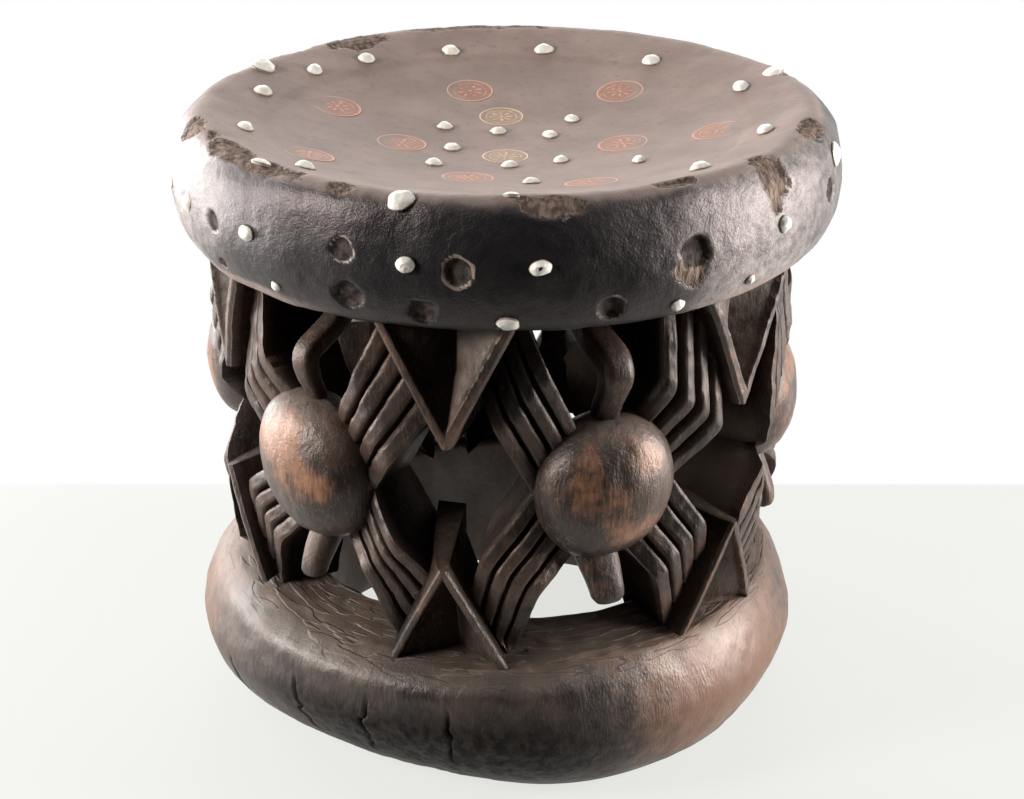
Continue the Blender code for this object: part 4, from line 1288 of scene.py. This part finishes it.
# The top is raised at the left, and a brow stands out at the front left: size, middle, half-angle
SHOULDER_RISE, SHOULDER_AT, SHOULDER_HALF = 0.005, -62, 26
BROW_DEPTH, BROW_AT, BROW_HALF = 0.0042, -16, 44

round_ring = np.radians(ring_angles)
swell = -SWELL * np.sin(round_ring) + LUMP * np.sin(2 * round_ring) + LUMP * np.cos(3 * round_ring)
swell = swell * outer
flattened = FLAT_DEPTH * np.exp(-np.abs((ring_angles - FLAT_AT) / FLAT_HALF) ** 3)
flattened = flattened * (1 - step(0.0, FLAT_TOP, ring_rise))
flattened = flattened * np.clip((ring_radius - RING_BORE) / (FOOT_RADIUS - RING_BORE), 0, 1)
slide = swell * RING_SLOPE * step(0.044, 0.087, ring_rise)
shoulder = SHOULDER_RISE * np.exp(-(turn_gap(ring_angles, SHOULDER_AT) / SHOULDER_HALF) ** 2)
lifted = shoulder * step(0.140, 0.158, ring_radius) * step(0.05, 0.08, ring_rise) - slide
bulge = 0.0012 * noise(ring_grid, 0.05, 44) + 0.0004 * noise(ring_grid, 0.009, 45)
brow = np.exp(-np.abs(turn_gap(ring_angles, BROW_AT) / BROW_HALF) ** 4)
bulge += BROW_DEPTH * brow * np.exp(-((ring_rise - 0.077) / 0.0075) ** 2) * outer
bulge += 0.00028 * brow * noise(ring_grid, 0.003, 47) * outer * (1 - on_top)
bulge += 0.0006 * strokes - 0.0040 * crack_mask
bulge += 0.0015 * noise(ring_grid * [1, 1, 0.4], 0.012, 46) * (ring_radius < RING_BORE + 0.001)
grounded = step(0.0, 0.004, ring_grid[..., 2])
ring_grid = ring_grid + ring_out * (bulge * grounded)[..., None]
ring_grid = ring_grid + on_drum(ring_angles, swell - flattened, lifted)
print("ring", ring_grid.shape, "highest point", round(ring_grid[..., 2].max(), 4))

# %% Ring masks
facing = turn_gap(ring_angles, VIEW_TURN)
# Painted light and shade, placed by the camera's view: the sides are rubbed brown and lightened as painted
# light, and the lower front is darkened as painted shade.
rubbed_and_lit_sides = step(4, 40, facing) * (1 - 0.5 * step(50, 85, facing)) + 0.75 * step(48, 85, -facing)
rubbed_and_lit_sides = rubbed_and_lit_sides * (1 - 0.55 * step(92, 130, np.abs(facing))) * outer + 0.25 * on_top
in_bore = ring_radius < RING_BORE + 0.0005
ring_masks = {
    "worn": rubbed_and_lit_sides * np.ones_like(crack_mask),
    "dust": np.clip(0.3 * on_top + 0.4 * np.clip(strokes, 0, 1) + 0.45 * in_bore, 0, 1),
    "top": on_top,
    "soot": np.exp(-((facing + 12) / 40) ** 4) * outer * (1 - step(0.050, 0.076, ring_rise)),
    "around": polar[..., 0],
    "inward": polar[..., 1],
    "crack": crack_mask,
}
shells = [(ring_grid, ring_masks)]
ring = make_piece("base_ring_carved", shells, base_wood, "base_wood", "base_ring", ring=True)
print(ring.name, len(ring.data.polygons), "faces")

# %% [markdown]
# ## Floor, light and camera
# The stool stands on a pale shelf in front of white. The floor is a plain sheet that keeps the shadow. A
# white room would light everything evenly, but the black coat would mirror it and turn grey. So soft
# lamps stand to the left, to the right and behind, and the camera's side of the room is dark: a screen
# behind the camera and a cloth before the stool do that, and the camera sees neither.

# %% Floor and screen
STAGE = 6.0
SHELF_EDGE = 0.25
FLOOR_GLOW = (0.90, 0.905, 0.87)
WHITE = (1, 1, 1)
# The screen and the cloth cover these angles; the cloth lies just over the floor
SCREEN_FROM, SCREEN_TO = -42, 74
SCREEN_RADIUS = 2.6
SCREEN_HEIGHT = 2.4
CLOTH_RADIUS = 0.44
CLOTH_Z = 0.003


def stage_sheet(name, grid, finish):
    """An open sheet that isn't part of the object."""
    rows, columns = grid.shape[:2]
    index = np.arange(rows * columns).reshape(rows, columns)
    corners = (index[:-1, :-1], index[:-1, 1:], index[1:, 1:], index[1:, :-1])
    mesh = bpy.data.meshes.new(name)
    mesh.from_pydata(grid.reshape(-1, 3).tolist(), [], np.stack(corners, axis=-1).reshape(-1, 4).tolist())
    mesh.materials.append(finish)
    made = bpy.data.objects.new(name, mesh)
    bpy.context.collection.objects.link(made)
    return made


def floor_finish():
    """Pale floor: the camera sees part of its own brightness, so that the shadow stays soft and pale."""
    finish = Finish("pale_floor")
    finish.done(Base_Color=(0.45, 0.45, 0.44, 1), Roughness=0.6)
    seen = finish.node("LightPath", output="Is Camera Ray")
    for ray in ("Is Glossy Ray", "Is Transmission Ray"):
        seen = finish.maths("MAXIMUM", seen, finish.node("LightPath", output=ray))
    turned = finish.node("Mapping", Vector=finish.place, Rotation=(0, 0, -np.radians(VIEW_TURN)))
    behind = finish.node("SeparateXYZ", output="Y", Vector=turned)
    wall = finish.between(behind, SHELF_EDGE, SHELF_EDGE + 0.004)
    glow = finish.node("Emission", Color=finish.blend(wall, FLOOR_GLOW, WHITE), Strength=1.0)
    share = finish.times(seen, finish.level(wall, 0.82, 1.0))
    shown = finish.node("MixShader", numbered={0: share, 1: finish.shader.outputs[0], 2: glow})
    finish.tree.links.new(shown, finish.tree.nodes["Material Output"].inputs["Surface"])
    return finish.material


edge = np.linspace(-STAGE, STAGE, 2)
floor_grid = np.stack([*np.meshgrid(edge, edge), np.zeros((2, 2))], axis=-1)
stage_sheet("floor", floor_grid, floor_finish())

dark = Finish("dark_screen").done(Base_Color=(0.015, 0.015, 0.015, 1), Roughness=1.0)
screen_angles = np.linspace(SCREEN_FROM, SCREEN_TO, 24)[None, :]
screen_grid = on_drum(screen_angles, SCREEN_RADIUS, np.array([[0.0], [SCREEN_HEIGHT]]))
screen = stage_sheet("screen", screen_grid, dark)
screen.visible_camera = False
cloth_grid = on_drum(screen_angles, np.array([[CLOTH_RADIUS], [SCREEN_RADIUS]]), CLOTH_Z)
cloth = stage_sheet("cloth", cloth_grid, dark)
cloth.visible_camera = False
cloth.visible_shadow = False
print("stage", "floor", screen.name, cloth.name)

# %% White background
ROOM_LIGHT = 0.08

world = bpy.data.worlds.new("white_room")
bpy.context.scene.world = world
world.use_nodes = True
nodes, links = world.node_tree.nodes, world.node_tree.links
path = nodes.new("ShaderNodeLightPath")
seen = path.outputs["Is Camera Ray"]
for ray in ("Is Glossy Ray", "Is Transmission Ray"):
    either = nodes.new("ShaderNodeMath")
    either.operation = "MAXIMUM"
    links.new(seen, either.inputs[0])
    links.new(path.outputs[ray], either.inputs[1])
    seen = either.outputs[0]
strength = nodes.new("ShaderNodeMix")
links.new(seen, strength.inputs[0])
strength.inputs[2].default_value = ROOM_LIGHT
strength.inputs[3].default_value = 1.0
links.new(strength.outputs[0], nodes["Background"].inputs["Strength"])
nodes["Background"].inputs["Color"].default_value = (*WHITE, 1)
print("world", world.name)

# %% Lamps
# Lamps: turn from the camera, distance, height, width and height of the panel, watts
LAMPS = {
    "left_lamp": (-68, 1.7, 1.0, (0.5, 0.6), 42),
    "left_strip": (-100, 1.2, 0.25, (0.2, 0.6), 14),
    "back_strip": (-130, 1.3, 0.5, (0.5, 0.9), 18),
    "right_strip": (84, 1.2, 0.35, (0.5, 0.9), 32),
    "back_panel": (178, 1.8, 1.1, (1.6, 1.0), 27),
}
STOOL_MIDDLE = Vector((0, 0, 0.2))

for name, (turn, distance, height, size, power) in LAMPS.items():
    lamp = bpy.data.lights.new(name, "AREA")
    lamp.shape = "RECTANGLE"
    lamp.size, lamp.size_y = size
    lamp.energy = power
    made = bpy.data.objects.new(name, lamp)
    made.location = on_drum(VIEW_TURN + turn, distance, height)
    made.rotation_euler = (STOOL_MIDDLE - made.location).to_track_quat("-Z", "Y").to_euler()
    bpy.context.collection.objects.link(made)
print("lamps", list(LAMPS))

# %% Camera
SENSOR_WIDTH = 36.0
LENS = 73.86
CAMERA_DISTANCE = 1.216
CAMERA_HEIGHT = 0.7088
CAMERA_SHIFT = 0.0032
CAMERA_PITCH = 23.46

camera = bpy.data.cameras.new("camera")
camera.sensor_fit = "HORIZONTAL"
camera.sensor_width = SENSOR_WIDTH
camera.lens = LENS
eye = bpy.data.objects.new("camera", camera)
turn = np.radians(VIEW_TURN)
eye.location = (
    CAMERA_DISTANCE * np.sin(turn) + CAMERA_SHIFT * np.cos(turn),
    -CAMERA_DISTANCE * np.cos(turn) + CAMERA_SHIFT * np.sin(turn),
    CAMERA_HEIGHT,
)
eye.rotation_euler = (np.radians(90 - CAMERA_PITCH), 0, turn)
bpy.context.collection.objects.link(eye)
bpy.context.scene.camera = eye
bpy.context.scene.view_settings.view_transform = "Standard"
print("camera at", [round(value, 3) for value in eye.location])
